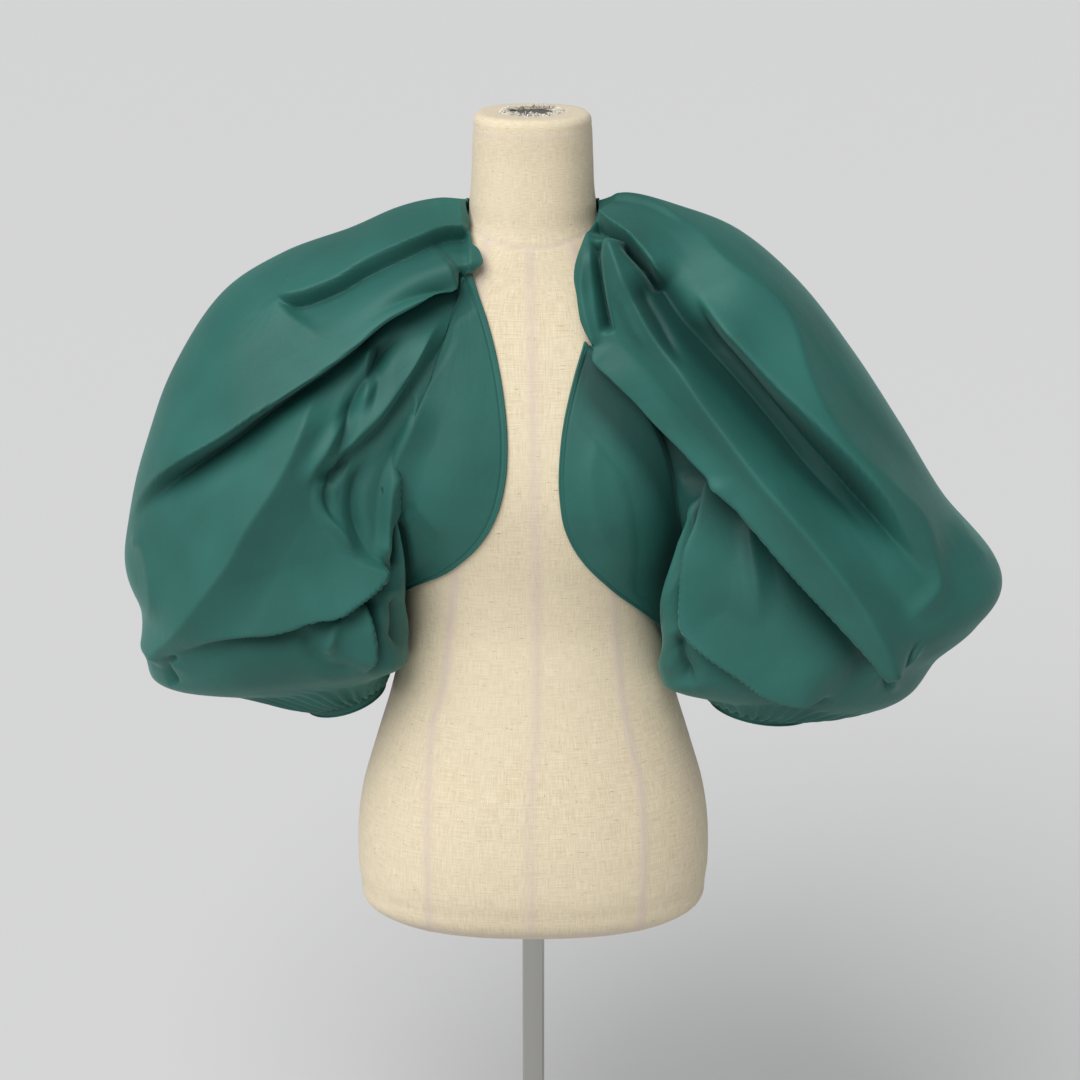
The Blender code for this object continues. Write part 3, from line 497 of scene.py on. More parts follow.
def with_folds(points, normal, folds, side, settle):
    """Front folds where the cloth faces forward, back folds where it faces back, with the depth of their
    hollows for painted shade.
    """
    front, front_lean, front_painted_shade = fold_shape(seen(points), folds, side)
    rear, rear_lean, rear_painted_shade = fold_shape(points[..., [0, 2]], BACK_FOLDS, side)
    facing = FACING_GAIN * normal[..., 1]
    ahead, behind = ramp(FACING_MIDDLE - facing), ramp(FACING_MIDDLE + facing)
    lean = front_lean * ahead[..., None] + rear_lean * behind[..., None]
    lean = np.stack([lean[..., 0], 0 * ahead, lean[..., 1]], axis=-1)
    lean -= normal * (lean * normal).sum(-1, keepdims=True)
    lift = (front * ahead + rear * behind)[..., None]
    return points + (normal * lift + lean) * settle, front_painted_shade * ahead + rear_painted_shade * behind


def clear_of_form(points):
    """Points no deeper than the cloth that rests on the form."""
    x, y, z = points[..., 0], points[..., 1], points[..., 2]
    y = np.where(y < 0, np.minimum(y, -over_form(x, z)), np.maximum(y, over_form(x, z, back=True)))
    return np.stack([x, y, z], axis=-1)


def back_seam(side):
    """The back seam's table, which ends where that side's front seam does."""
    table = np.array(BACK_SEAM, float)
    table[-1, 2] = SEAMS[side][-1, 2]
    return table


def seam_line(table, step):
    """Angle, height and lift at the steps of a seam: cubics through its table."""
    line = hermite(step, table[:, 0], table[:, 1:])
    return np.radians(line[:, 0]), line[:, 1] * MM, line[:, 2] * MM


def seam_and_foot(table, step, foot):
    """A seam's angle, height and lift; past its last step the height goes on to the foot."""
    angle, height, lift = seam_line(table, step)
    past = np.clip(step - table[-1, 0], 0, 1)
    return angle, height * (1 - past) + foot * MM * past, lift


def seam_ring(side, ahead_steps, behind_steps):
    """The first ring: front seam from the neck down, then the back seam up."""
    angle, height, lift = seam_line(SEAMS[side], np.linspace(0, FRONT_STEPS, ahead_steps + 1)[:-1])
    front = around_form(angle, height, lift, side)
    angle, height, lift = seam_line(back_seam(side), np.linspace(BACK_STEPS, 0, behind_steps + 1)[:-1])
    return np.vstack([front, around_form(-angle, height, lift, side)])


def ring_points(rings, seam, side, rows, ahead_steps, behind_steps):
    """Each ring is a quadratic curve outer-bend-inner with bulge |sin|^p on each side."""
    along = (len(rings) - 1) * np.linspace(0, 1, rows)
    row = hermite(along, np.arange(len(rings)), np.array(rings) * MM)[:, None, :]
    ahead = np.arange(ahead_steps) / ahead_steps
    behind = 1 + np.arange(behind_steps) / behind_steps
    angle = math.pi * np.concatenate([ahead, behind])[None, :]
    share = (1 - np.cos(angle)) / 2
    outer, bend, inner = (1 - share)**2, 2 * share * (1 - share), share**2
    x = side * (outer * row[..., 0] + bend * row[..., 2] + inner * row[..., 4])
    z = outer * row[..., 1] + bend * row[..., 3] + inner * row[..., 5]
    hug = HUG[side] * (1 - rise(along, HUG_FADE))[:, None]
    x = x - side * hug * np.maximum(np.sin(angle), 0) * rise(share, HUG_PLACE)
    bulge = np.abs(np.sin(angle))**RING_POWER
    y = np.where(np.sin(angle) > 0, -row[..., 6] * bulge, row[..., 7] * bulge)
    ring = np.stack([x, y, z], axis=-1)
    reach = (1 - ramp(along / SEAM_SPREAD))[:, None, None]
    return clear_of_form(ring + (seam - ring[0]) * reach)


def mesh_object(name, points, faces, material, uvs=None, normals=None):
    """A smooth mesh with UVs for each face corner and normals for each vertex."""
    mesh = bpy.data.meshes.new(name)
    mesh.from_pydata(points.tolist(), [], faces)
    mesh.materials.append(material)
    mesh.shade_smooth()
    if uvs is not None:
        layer = mesh.uv_layers.new(name="cloth")
        layer.data.foreach_set("uv", uvs.astype(np.float32).ravel())
    if normals is not None:
        mesh.normals_split_custom_set_from_vertices(normals.tolist())
    thing = bpy.data.objects.new(name, mesh)
    bpy.context.scene.collection.objects.link(thing)
    return thing


def grid_faces(rows, steps, closed, flip=False):
    """Quads row * steps + step and its neighbours; a closed grid joins its last step to its first."""
    around = steps if closed else steps - 1
    row, step = np.meshgrid(np.arange(rows - 1), np.arange(around), indexing="ij")
    after = (step + 1) % steps
    faces = np.stack([row * steps + step, row * steps + after,
                      (row + 1) * steps + after, (row + 1) * steps + step], axis=-1).reshape(-1, 4)
    return faces[:, ::-1] if flip else faces


def grid_object(name, points, closed, material, outward, flip=False):
    """A single skin on a grid of points with UVs in metres and the given normals."""
    rows, steps = points.shape[:2]
    round_again = np.concatenate([points, points[:, :1]], axis=1) if closed else points
    across = np.linalg.norm(np.diff(round_again, axis=1), axis=-1).mean(0)
    down = np.linalg.norm(np.diff(points, axis=0), axis=-1).mean(1)
    u = np.concatenate([[0], np.cumsum(across)])
    v = np.concatenate([[0], np.cumsum(down)])
    uvs = np.stack(np.meshgrid(u, v), axis=-1).reshape(-1, 2)
    corners = grid_faces(rows, len(u), False, flip).ravel()
    faces = grid_faces(rows, steps, closed, flip).tolist()
    return mesh_object(name, points.reshape(-1, 3), faces, material, uvs[corners], outward.reshape(-1, 3))


def tube(name, path, radius, material, closed=False, sides=8):
    """A thin round edge: path + radius * (cos(a) across + sin(a) up), capped where it is open."""
    if closed:
        step = np.roll(path, -1, axis=0) - np.roll(path, 1, axis=0)
    else:
        step = np.gradient(path, axis=0)
    forward = unit(step)
    across = unit(np.cross(forward, TUBE_UP))
    up = np.cross(forward, across)
    angle = (2 * math.pi * np.arange(sides) / sides)[None, :, None]
    points = path[:, None] + radius * (np.cos(angle) * across[:, None] + np.sin(angle) * up[:, None])
    count = len(path) * sides
    if closed:
        faces = (grid_faces(len(path) + 1, sides, True) % count).tolist()
    else:
        caps = [list(range(sides))[::-1], list(range(count - sides, count))]
        faces = grid_faces(len(path), sides, True).tolist() + caps
    return mesh_object(name, points.reshape(-1, 3), faces, material)


class Shade:
    """A shader value: + and * on it, either way round, add Math nodes to its surface."""

    def __init__(self, surface, socket):
        self.surface, self.socket = surface, socket

    def combined(self, operation, first, second):
        made = self.surface.node("ShaderNodeMath", {"operation": operation}, {0: first, 1: second})
        return Shade(self.surface, made.outputs[0])

    def __add__(self, other):
        return self.combined("ADD", self, other)

    def __radd__(self, other):
        return self.combined("ADD", other, self)

    def __mul__(self, other):
        return self.combined("MULTIPLY", self, other)

    def __rmul__(self, other):
        return self.combined("MULTIPLY", other, self)

    def above(self, low, high):
        """Smooth step: 0 below low, 1 above high."""
        made = self.surface.node("ShaderNodeMapRange", {"interpolation_type": "SMOOTHSTEP"},
                                 {"Value": self, "From Min": low, "From Max": high})
        return Shade(self.surface, made.outputs["Result"])


class Surface:
    """A Principled material whose inputs take plain values or Shade values."""

    def __init__(self, name, **values):
        self.material = bpy.data.materials.new(name)
        self.material.use_nodes = True
        self.tree = self.material.node_tree
        self.shader = self.tree.nodes["Principled BSDF"]
        self.set(**values)

    def node(self, kind, settings, sockets):
        """A new node: its settings first, then its sockets' values or links."""
        made = self.tree.nodes.new(kind)
        for key, value in settings.items():
            setattr(made, key, value)
        return self.feed(made, sockets)

    def feed(self, node, sockets):
        """Links or values for a node's sockets; colours get their alpha."""
        for key, value in sockets.items():
            socket = node.inputs[key]
            if isinstance(value, Shade):
                self.tree.links.new(value.socket, socket)
            elif socket.type == "RGBA":
                socket.default_value = (*value, 1)
            else:
                socket.default_value = value
        return node

    def set(self, **values):
        """Inputs of the shader by name, with _ for a space."""
        self.feed(self.shader, {key.replace("_", " "): value for key, value in values.items()})

    def place(self, kind="Object", scale=(1, 1, 1)):
        """Coordinates on the object or on its UV map, stretched by scale."""
        made = self.node("ShaderNodeTexCoord", {}, {})
        vector = Shade(self, made.outputs[kind])
        stretched = self.node("ShaderNodeMapping", {}, {"Vector": vector, "Scale": scale})
        return Shade(self, stretched.outputs[0])

    def noise(self, place, scale=1.0, detail=2.0, roughness=0.55):
        made = self.node("ShaderNodeTexNoise", {},
                         {"Vector": place, "Scale": scale, "Detail": detail, "Roughness": roughness})
        return Shade(self, made.outputs["Fac"])

    def attribute(self, name):
        made = self.node("ShaderNodeAttribute", {"attribute_name": name}, {})
        return Shade(self, made.outputs["Fac"])

    def mix(self, factor, first, second):
        made = self.node("ShaderNodeMix", {"data_type": "RGBA"}, {"Factor": factor, "A": first, "B": second})
        return Shade(self, made.outputs["Result"])

    def bump(self, height, strength, distance):
        made = self.node("ShaderNodeBump", {},
                         {"Height": height, "Strength": strength, "Distance": distance})
        return Shade(self, made.outputs[0])


def taffeta(look):
    """Dense crisp weave: faint slubs across, soft crumples, a cool sheen, and painted shade darkening the
    hollows.
    """
    made = Surface("taffeta", Roughness=look.roughness, Sheen_Weight=look.sheen, Sheen_Roughness=0.35,
                   Sheen_Tint=(0.52, 0.95, 0.86), Specular_IOR_Level=0.35)
    broad = made.noise(made.place(), 9.0)
    slub = made.noise(made.place("UV", (260, 2200, 1)))
    weft = made.noise(made.place("UV", (2600, 300, 1)))
    crumple = made.noise(made.place("UV", (22, 9, 1)), 1.0, 4.0, 0.6)
    base = tuple(look.colour)
    light = tuple(channel * 1.16 for channel in base)
    dark = tuple(channel * 0.88 for channel in base)
    # colour of the painted shade in the deepest hollows
    painted_shade_colour = tuple(channel * share for channel, share in zip(base, PAINTED_SHADE_SHARE))
    open_cloth = made.mix((broad * 0.7 + slub * 0.3).above(0.35, 0.68), dark, light)
    # painted shade: the base colour darkens with the depth of the folds' hollows
    painted_shade = made.attribute("painted_shade").above(1.0, PAINTED_SHADE_DEPTH) * 0.85
    made.set(Base_Color=made.mix(painted_shade, open_cloth, painted_shade_colour),
             Roughness=weft * 0.10 + (look.roughness - 0.05),
             Normal=made.bump(crumple + slub * 0.05 + weft * 0.05, 0.35, 0.004))
    return made.material


def linen(look):
    """Cream slub weave with dark flecks, and the seam allowances showing through."""
    made = Surface("linen", Roughness=0.9, Sheen_Weight=0.15)
    across = made.noise(made.place("UV", (55, 1100, 1)), 1.0, 3.0, 0.7)
    down = made.noise(made.place("UV", (1100, 55, 1)), 1.0, 3.0, 0.7)
    weave = across * 0.5 + down * 0.5
    cloud = made.noise(made.place(), 7.0, 3.0)
    fleck_a = made.noise(made.place("UV", (120, 900, 1))).above(0.66, 0.73)
    fleck_b = made.noise(made.place("UV", (900, 140, 1))).above(0.68, 0.75)
    cream = tuple(look.linen)
    darker = tuple(channel * share for channel, share in zip(cream, (0.78, 0.73, 0.66)))
    warm = made.mix(weave.above(0.36, 0.64), darker, cream)
    patchy = made.mix(cloud.above(0.35, 0.7) * 0.35, warm, tuple(channel * 0.93 for channel in cream))
    flecked = made.mix((fleck_a + fleck_b).above(0.0, 1.4), patchy, (0.36, 0.25, 0.15))
    made.set(Base_Color=made.mix(made.attribute("seam"), flecked, (0.60, 0.49, 0.43)),
             Normal=made.bump(weave + fleck_a * 0.3, 0.45, 0.0009))
    return made.material


def loose_thread():
    """Bleached ends of the cover's weave."""
    made = Surface("loose_thread", Roughness=0.9, Sheen_Weight=0.2)
    made.set(Base_Color=made.mix(made.noise(made.place(), 300.0).above(0.3, 0.7), (0.68, 0.62, 0.50),
                                 (0.88, 0.85, 0.76)))
    return made.material


def plate_grey():
    """Fine-grained grey paint."""
    made = Surface("neck_plate", Roughness=0.45, Metallic=0.3)
    grain = made.noise(made.place(), 900.0)
    made.set(Base_Color=made.mix(grain.above(0.3, 0.7), (0.09, 0.10, 0.10), (0.15, 0.16, 0.165)),
             Normal=made.bump(grain, 0.15, 0.0004))
    return made.material


def steel(name, roughness):
    """Brushed steel with streaks along the pole."""
    made = Surface(name, Base_Color=(0.42, 0.415, 0.40), Metallic=1.0)
    streak = made.noise(made.place("Object", (900, 900, 6)))
    made.set(Roughness=streak * 0.10 + (roughness - 0.05))
    return made.material


def floor_paint(look):
    """Plain and matt."""
    return Surface("studio_floor", Base_Color=tuple(look.floor), Roughness=0.85).material


LOOKS = {}


def finish_for(name):
    """Each material is made once and shared."""
    if name not in LOOKS:
        settings = bpy.context.scene.bolero_look
        makers = {"taffeta": lambda: taffeta(settings), "linen": lambda: linen(settings),
                  "loose_thread": loose_thread, "neck_plate": plate_grey,
                  "steel": lambda: steel("steel", 0.16), "base_steel": lambda: steel("base_steel", 0.30),
                  "floor": lambda: floor_paint(settings)}
        LOOKS[name] = makers[name]()
    return LOOKS[name]


SIDES = {
    "left": (1, LEFT_RINGS, LEFT_FOLDS, LEFT_EDGE),
    "right": (-1, RIGHT_RINGS, RIGHT_FOLDS, RIGHT_EDGE),
}


def sleeve_grid(name, sizes):
    """A sleeve's surface, and the depth of its hollows in millimetres, for their painted shade.

    Gathers of uneven width and height, sin(n t + 1.3 sin 3t) * (0.7 + 0.3 sin 5t),
    stand above the cuff and roll under towards it.
    """
    side, rings, folds, _ = SIDES[name]
    seam = seam_ring(side, sizes.ahead_steps, sizes.behind_steps)
    base = ring_points(rings, seam, side, sizes.sleeve_rows, sizes.ahead_steps, sizes.behind_steps)
    normal = -side * surface_normals(base, True)
    down = np.linspace(0, 1, sizes.sleeve_rows)[:, None]
    away = ramp(down / SEAM_BLEND)[..., None]
    normal = unit(seam_normals(seam, normal[0], sizes.ahead_steps) * (1 - away) + normal * away)
    settle = (1 - rise(down, SETTLED))[..., None]
    shaped, painted_shade = with_folds(base, normal, folds, side, settle)
    turn = np.linspace(0, 2 * math.pi, base.shape[1], endpoint=False)[None, :]
    wave = np.sin(sizes.gathers * turn + 1.3 * np.sin(3 * turn)) * (0.7 + 0.3 * np.sin(5 * turn))
    lift = sizes.gather_depth * wave * rise(down, GATHERED) * ramp((1 - down) / GATHERS_END)
    shaped = shaped + normal * lift[..., None]
    shaped[..., 2] -= CUFF_ROLL * rise(down, ROLLED_UNDER) * ramp((1 - down) / ROLL_END)
    return clear_of_form(shaped), painted_shade


def seam_normals(seam, own, ahead_steps):
    """Normals along a raglan seam: the sleeve's own and the resting cloth's, averaged."""
    outward = unit(seam * SEAM_OUTWARD + SEAM_UPWARD)
    beside_front = np.arange(len(seam)) / ahead_steps > FRONT_START / FRONT_STEPS
    share = np.where(beside_front, *SEAM_SHARES)[:, None]
    return unit(own * (1 - share) + outward * share)


def front_grid(name, rows, steps):
    """A front from its free edge (share 0) to the raglan seam (share 1) and on under the sleeve."""
    side, _, folds, edge = SIDES[name]
    foot = edge[-1][1]
    along = np.linspace(0, 1, rows)
    step = FRONT_START + along * (FRONT_STEPS + 1 - FRONT_START)
    seam_angle, seam_height, seam_lift = seam_and_foot(SEAMS[side], step, foot)
    edge_angle, edge_height = on_front(smooth_line(edge, rows) * MM * np.array([side, 1]))
    last = rise(along, HEM_TURN)
    edge_angle = edge_angle * (1 - last) + math.radians(HEM_END_ANGLE) * last
    edge_height = edge_height * (1 - last) + foot * MM * last
    along = along[:, None]
    share = (TUCKED * np.linspace(0, 1, steps)**EDGE_CLOSENESS)[None, :]
    inside = np.minimum(share, 1)
    rounding = PANEL_ROUNDING * np.sin(math.pi * inside) * np.sin(math.pi * along)
    lifted = seam_lift[:, None] * inside**2 - TUCK_SLOPE * np.maximum(share - 1, 0)
    grid = around_form(between(edge_angle, seam_angle, share), between(edge_height, seam_height, share),
                       lifted + rounding, side)
    # the fronts' dents stop at DEEPEST_DENT; their painted shade keeps the folds' full depth
    height, _, painted_shade = fold_shape(seen(grid), {**folds, **PANEL_FOLDS[name]}, side)
    lift = np.maximum(height, -DEEPEST_DENT) * ramp(share / FOLDS_RISE) * ramp((1 - along) / FOLDS_FALL)
    from_edge = np.cumsum(np.linalg.norm(np.diff(grid, axis=1, prepend=grid[:, :1]), axis=-1), axis=1)
    stitched = -STITCH_DEPTH * bell(from_edge - STITCH_PLACE, STITCH_WIDTH)
    return grid + side * surface_normals(grid, False) * (lift + stitched)[..., None], painted_shade


def back_grid(rows, steps):
    """The back from the left raglan seam (share 0) to the right one (share 1), lower at its centre."""
    step = np.linspace(0, BACK_STEPS + 1, rows)
    down = np.linspace(0, 1, rows)[:, None]
    left_angle, left_height, lift = seam_and_foot(back_seam(1), step, LEFT_EDGE[-1][1])
    right_angle, right_height, _ = seam_and_foot(back_seam(-1), step, RIGHT_EDGE[-1][1])
    share = np.linspace(0, 1, steps)[None, :]
    bow = np.sin(math.pi * share)
    height = between(left_height, right_height, share) - bow * CENTRE_BACK_DROP * (1 - down)
    grid = around_form(-between(left_angle, math.pi - right_angle, share), height,
                       lift[:, None] * np.abs(2 * share - 1)**3, 1)
    ripple = BACK_RIPPLE * np.sin(9.0 * share + 2.5 * down) * bow
    return grid + surface_normals(grid, False) * ripple[..., None]


def set_attribute(thing, name, values):
    """One value for each vertex of the mesh."""
    layer = thing.data.attributes.new(name, "FLOAT", "POINT")
    layer.data.foreach_set("value", values.astype(np.float32).ravel())


def finish_cloth(thing, node, rests_on, edges):
    """Hides the CAD node that a cloth stands for, and joins the cloth and its edges to the root body."""
    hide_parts(node)
    for piece in (thing, *edges):
        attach(piece, "root")


class BoleroLook(bpy.types.PropertyGroup):
    """Colours and finish of the cloth, the form's cover and the floor."""
    colour: FloatVectorProperty(name="Cloth colour", description="Colour of the taffeta in full light",
                                subtype="COLOR", default=(0.017, 0.109, 0.090), min=0, max=1)
    roughness: FloatProperty(name="Roughness", description="How dull the taffeta is", subtype="FACTOR",
                             default=0.60, min=0, max=1)
    sheen: FloatProperty(name="Sheen", description="Strength of the taffeta's sheen", subtype="FACTOR",
                         default=0.17, min=0, max=1)
    linen: FloatVectorProperty(name="Cover colour", description="Lightest threads of the form's linen cover",
                               subtype="COLOR", default=(0.77, 0.675, 0.495), min=0, max=1)
    floor: FloatVectorProperty(name="Floor colour", description="Colour of the studio's floor",
                               subtype="COLOR", default=(0.63, 0.63, 0.625), min=0, max=1)


class BoleroSizes(bpy.types.PropertyGroup):
    """Sizes of the cloth's gathers and edges, and how finely its surfaces are divided."""
    gathers: IntProperty(name="Gathers", description="Gathers round each cuff", default=30, min=4)
    gather_depth: FloatProperty(name="Gather depth", description="Height of the gathers above the cuffs",
                                unit="LENGTH", default=2.2 * MM, min=0)
    edge_radius: FloatProperty(name="Edge radius", description="Half thickness of the turned edges",
                               unit="LENGTH", default=1.2 * MM, min=0.2 * MM)
    sleeve_rows: IntProperty(name="Sleeve rows", description="Rings of each sleeve", default=300, min=20)
    ahead_steps: IntProperty(name="Sleeve front steps", description="Steps round the front of a ring",
                             default=230, min=20)
    behind_steps: IntProperty(name="Sleeve back steps", description="Steps round the back of a ring",
                              default=100, min=10)
    panel_rows: IntProperty(name="Panel rows", description="Rows of the fronts and the back", default=170,
                            min=20)
    panel_steps: IntProperty(name="Panel steps", description="Steps across a front", default=70, min=10)


class BOLERO_OT_sleeves(bpy.types.Operator):
    """Build both sleeves with their folds, and the cuffs"""
    bl_idname = "bolero.sleeves"
    bl_label = "Sleeves and cuffs"

    def execute(self, context):
        sizes = context.scene.bolero_sizes
        cloth = finish_for("taffeta")
        for name, (side, _, _, _) in SIDES.items():
            shaped, painted_shade = sleeve_grid(name, sizes)
            outward = -side * surface_normals(shaped, True)
            thing = grid_object("cloth_sleeve_" + name, shaped, True, cloth, outward, side < 0)
            # depth of the hollows, which sets their painted shade
            set_attribute(thing, "painted_shade", painted_shade)
            neck = int(sizes.ahead_steps * FRONT_START / FRONT_STEPS) + 2
            path = shaped[0, :neck] - outward[0, :neck] * NECK_INSET
            edge = tube("neck_edge_" + name, path, NECK_EDGE_RADIUS, cloth)
            area = grid_area(shaped, True)
            finish_cloth(thing, "sleeve_" + name, "dress_form", [edge])
            self.cuff(name, side, shaped, cloth)
        return {"FINISHED"}

    def cuff(self, name, side, sleeve, cloth):
        """A short band under the sleeve's last ring, with a rounded lower edge."""
        ring = sleeve[-1, ::2]
        centre = ring.mean(axis=0)
        fall = np.cross(ring[len(ring) // 3] - centre, ring[0] - centre)
        fall *= -math.copysign(1, fall[2]) / np.linalg.norm(fall)
        down = np.linspace(0, 1, CUFF_ROWS)[:, None, None]
        swell = np.sin(math.pi * down) * CUFF_SWELL
        grid = ring[None] + fall * down * CUFF_HEIGHT + unit(ring - centre)[None] * swell
        outward = -side * surface_normals(grid, True)
        thing = grid_object("cloth_cuff_" + name, grid, True, cloth, outward, side < 0)
        edge = tube("cuff_edge_" + name, grid[-1], CUFF_EDGE_RADIUS, cloth, closed=True)
        finish_cloth(thing, "cuff_" + name, "cloth_sleeve_" + name, [edge])


class BOLERO_OT_body(bpy.types.Operator):
    """Build the fronts and the back"""
    bl_idname = "bolero.body"
    bl_label = "Fronts and back"

    def execute(self, context):
        sizes = context.scene.bolero_sizes
        cloth = finish_for("taffeta")
        for name, (side, _, _, _) in SIDES.items():
            grid, painted_shade = front_grid(name, sizes.panel_rows, sizes.panel_steps)
            outward = side * surface_normals(grid, False)
            thing = grid_object("cloth_front_" + name, grid, False, cloth, outward, side > 0)
            # depth of the hollows, which sets their painted shade
            set_attribute(thing, "painted_shade", painted_shade)
            path = grid[:, 0] - outward[:, 0] * EDGE_INSET
            edge = tube("front_edge_" + name, path, sizes.edge_radius, cloth)
            area = grid_area(grid, False) * TURNED_IN
            finish_cloth(thing, "front_" + name, "dress_form", [edge])
        grid = back_grid(sizes.panel_rows, sizes.panel_steps * 2)
        outward = surface_normals(grid, False)
        thing = grid_object("cloth_back", grid, False, cloth, outward, True)
        hem = tube("back_hem", grid[-1] - outward[-1] * EDGE_INSET, sizes.edge_radius, cloth)
        neck = tube("back_neck_edge", grid[0] - outward[0] * BACK_NECK_INSET, NECK_EDGE_RADIUS, cloth)
        area = grid_area(grid, False) * TURNED_IN
        finish_cloth(thing, "back", "dress_form", [hem, neck])
        return {"FINISHED"}


def grid_area(points, closed):
    """Sum of the quads' areas as half the diagonals' cross product."""
    around = np.roll(points, -1, axis=1) if closed else points[:, 1:]
    own = points if closed else points[:, :-1]
    one = around[1:] - own[:-1]
    other = own[1:] - around[:-1]
    return float(np.linalg.norm(np.cross(one, other), axis=-1).sum() / 2)


class BOLERO_OT_form(bpy.types.Operator):
    """Build the form's linen cover with its seams and frayed neck edge"""
    bl_idname = "bolero.form"
    bl_label = "Dress form"

    def execute(self, context):
        rows = FORM_BOTTOM + (FORM_TOP - FORM_BOTTOM) * np.linspace(0, 1, COVER_ROWS)**COVER_CLOSENESS
        # The first ring is doubled, so that the lower edge stays crisp
        grid = self.shell(np.concatenate([rows[:1], rows]))
        cover = finish_for("linen")
        seam = self.seam_strength(grid)
        groove = bell(grid[..., 2] - self.neck_line(grid), GROOVE_WIDTH)
        relief = SEAM_RELIEF * seam - GROOVE_DEPTH * groove
        grid = grid - surface_normals(grid, True) * relief[..., None]
        top, bottom = self.caps(grid)
        full = np.concatenate([bottom, grid, top])
        outward = -surface_normals(full, True)
        thing = grid_object("form_cover", full, True, cover, outward)
        strength = np.concatenate([np.zeros(bottom.shape[:2]), seam, np.full(top.shape[:2], TOP_SHADE)])
        set_attribute(thing, "seam", np.clip(strength, 0, 1))
        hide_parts("dress_form")
        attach(thing, "root")
        fray = self.fray()
        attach(fray, "root")
        for node, name in (("neck_plate", "neck_plate"), ("pole", "steel"), ("base", "base_steel")):
            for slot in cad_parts[node].material_slots:
                slot.material = finish_for(name)
        return {"FINISHED"}

    def shell(self, heights):
        """Superellipse sections of the form, anticlockwise from above."""
        half, front, rear = (size[:, None] for size in form_section(heights))
        angle = (2 * math.pi * np.arange(COVER_STEPS) / COVER_STEPS)[None, :]
        across, ahead = np.cos(angle), np.sin(angle)
        power = 2 / SECTION_POWER
        x = half * np.sign(across) * np.abs(across)**power
        z = heights[:, None] + 0 * x
        depth = np.where(ahead > 0, rear, front + bust_swell(x, z))
        y = depth * np.sign(ahead) * np.abs(ahead)**power
        return np.stack([x, y, z], axis=-1)

    def seam_strength(self, grid):
        """The strongest of the bells about each seam of the cover."""
        z = grid[..., 2]
        width, full = COVER_SEAM
        strength = bell(grid[..., 1], width)
        ahead = grid[..., 1] < 0
        for seams, places, wanted in ((FRONT_COVER_SEAMS, seen(grid), ahead),
                                      (BACK_COVER_SEAMS, grid[..., [0, 2]], ~ahead)):
            for line in seams.values():
                path = smooth_line(line, SEAM_STEPS * len(line)) * MM
                distance = nearest_on(places.reshape(-1, 2), path)[0].reshape(z.shape)
                strength = np.maximum(strength, wanted * bell(distance, width))
        body = full * (z < NECK_SEAM_HEIGHT - 4 * MM)
        level = [bell(z - height, seam[0]) * seam[1]
                 for height, seam in ((self.neck_line(grid), NECK_SEAM), (RIM_SEAM_HEIGHT, RIM_SEAM),
                                      (HEM_SEAM_HEIGHT, HEM_SEAM))]
        return np.maximum.reduce([strength * body, *level])

    def neck_line(self, grid):
        """Height of the neck-base seam, which dips at the front by 1 - (x / reach)^2."""
        across = np.clip(1 - (grid[..., 0] / NECK_SEAM_REACH)**2, 0, 1)
        return NECK_SEAM_HEIGHT - NECK_SEAM_DIP * across * ramp(-grid[..., 1] / (20 * MM))

    def caps(self, grid):
        """Rings that close the top down to the plate, and the underside round the pole."""
        angle = 2 * math.pi * np.arange(COVER_STEPS) / COVER_STEPS
        around = np.stack([np.cos(angle), np.sin(angle), 0 * angle], axis=-1)
        hole = around * POLE_HOLE_RADIUS + np.array([0, 0, UNDERSIDE])
        bottom = [hole + np.array([0, 0, POLE_HOLE_TOP - UNDERSIDE]), hole]
        bottom += [hole * (1 - share) + grid[0] * share for share in (0.3, 0.6, 0.85)]
        rim = around * NECK_HOLE_RADIUS + np.array([0, 0, FORM_TOP])
        top = [grid[-1] * (1 - share) + rim * share for share in (0.25, 0.6, 1.0)]
        top.append(rim + around * 0.2 * MM - np.array([0, 0, 4 * MM]))
        return np.array(top), np.array(bottom)

    def fray(self, threads=420):
        """Loose threads round the hole: root + length * (s * inward + climb * sin(2.2 s) * up)."""
        rng = np.random.default_rng(7)
        turn, lean = rng.uniform(0, 2 * math.pi, threads), rng.uniform(-0.9, 0.9, threads)
        length, climb = rng.uniform(3.0, 8.5, threads) * MM, rng.uniform(-0.1, 0.6, threads)
        radius = NECK_HOLE_RADIUS + rng.uniform(-0.5, 5.0, threads) * MM
        width = rng.uniform(0.3, 0.55, threads) * MM
        height = 0 * turn + FORM_TOP - 0.3 * MM
        root = np.stack([radius * np.cos(turn), radius * np.sin(turn), height], axis=-1)
        inward = -np.stack([np.cos(turn + lean), np.sin(turn + lean), 0 * turn], axis=-1)
        share = np.linspace(0, 1, 3)
        centre = root[:, None] + inward[:, None] * (length[:, None] * share)[..., None]
        centre[..., 2] += (length * climb)[:, None] * np.sin(2.2 * share)
        side = np.cross(inward, (0, 0, 1)) * width[:, None]
        over = np.stack([0 * width, 0 * width, width], axis=-1)
        corners = np.stack([side, over, -side], axis=1)
        points = centre[:, :, None] + corners[:, None] * (1 - 0.5 * share)[None, :, None, None]
        start = 9 * np.arange(threads)[:, None, None]
        sides = (grid_faces(3, 3, True, True)[None] + start).reshape(-1, 4)
        caps = (np.array([[0, 1, 2], [8, 7, 6]])[None] + start).reshape(-1, 3)
        return mesh_object("frayed_threads", points.reshape(-1, 3), sides.tolist() + caps.tolist(),
                           finish_for("loose_thread"))


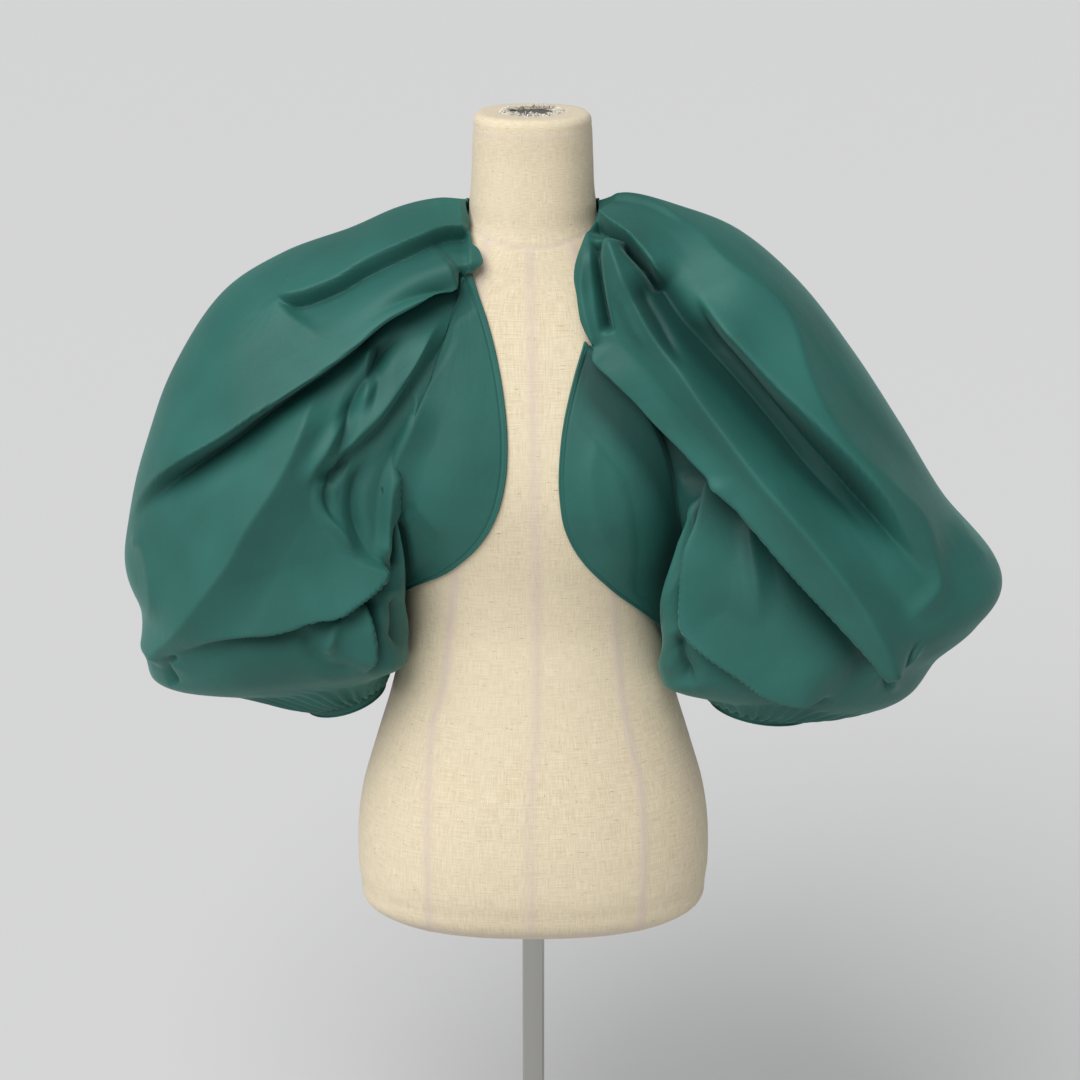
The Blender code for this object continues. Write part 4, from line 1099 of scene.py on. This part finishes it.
class BOLERO_OT_stage(bpy.types.Operator):
    """Set the floor, the light and the camera"""
    bl_idname = "bolero.stage"
    bl_label = "Studio"

    def execute(self, context):
        corners = FLOOR_REACH * np.array([(-1, -1, 0), (1, -1, 0), (1, 1, 0), (-1, 1, 0)])
        floor = mesh_object("studio_floor", corners, [(0, 1, 2, 3)], finish_for("floor"))
        world = bpy.data.worlds.new("studio")
        world.use_nodes = True
        sky = world.node_tree.nodes["Background"].inputs
        sky["Color"].default_value = (*SKY_COLOUR, 1)
        sky["Strength"].default_value = WORLD_STRENGTH
        context.scene.world = world
        context.scene.view_settings.view_transform = "Standard"
        light = bpy.data.lights.new("window", "SUN")
        light.energy, light.angle = SUN_STRENGTH, math.radians(SUN_WIDTH)
        lamp = bpy.data.objects.new("window", light)
        lamp.rotation_euler = (-Vector(SUN_FROM)).to_track_quat("-Z", "Y").to_euler()
        context.scene.collection.objects.link(lamp)
        camera = bpy.data.cameras.new("photo_view")
        camera.lens, camera.sensor_width, camera.sensor_height = LENS, SENSOR, SENSOR
        view = bpy.data.objects.new("photo_view", camera)
        view.location = EYE
        view.rotation_euler = (math.pi / 2 - CAMERA_PITCH, 0, 0)
        context.scene.collection.objects.link(view)
        context.scene.camera = view
        return {"FINISHED"}


class BOLERO_PT_panel(bpy.types.Panel):
    """Sidebar panel with a button for each group of pieces"""
    bl_label = "Bolero"
    bl_idname = "BOLERO_PT_panel"
    bl_space_type = "VIEW_3D"
    bl_region_type = "UI"
    bl_category = "Bolero"

    def draw(self, context):
        for settings in (context.scene.bolero_look, context.scene.bolero_sizes):
            for key in settings.__annotations__:
                self.layout.prop(settings, key)
        for step in STEPS:
            self.layout.operator(step.bl_idname)


STEPS = (BOLERO_OT_form, BOLERO_OT_body, BOLERO_OT_sleeves, BOLERO_OT_stage)
CLASSES = (BoleroLook, BoleroSizes, *STEPS, BOLERO_PT_panel)


def register():
    for made in CLASSES:
        bpy.utils.register_class(made)
    bpy.types.Scene.bolero_look = PointerProperty(type=BoleroLook)
    bpy.types.Scene.bolero_sizes = PointerProperty(type=BoleroSizes)


def unregister():
    del bpy.types.Scene.bolero_sizes
    del bpy.types.Scene.bolero_look
    for made in reversed(CLASSES):
        bpy.utils.unregister_class(made)


def main():
    register()
    bpy.ops.bolero.form()
    bpy.ops.bolero.body()
    bpy.ops.bolero.sleeves()
    bpy.ops.bolero.stage()


if __name__ == "__main__":
    main()
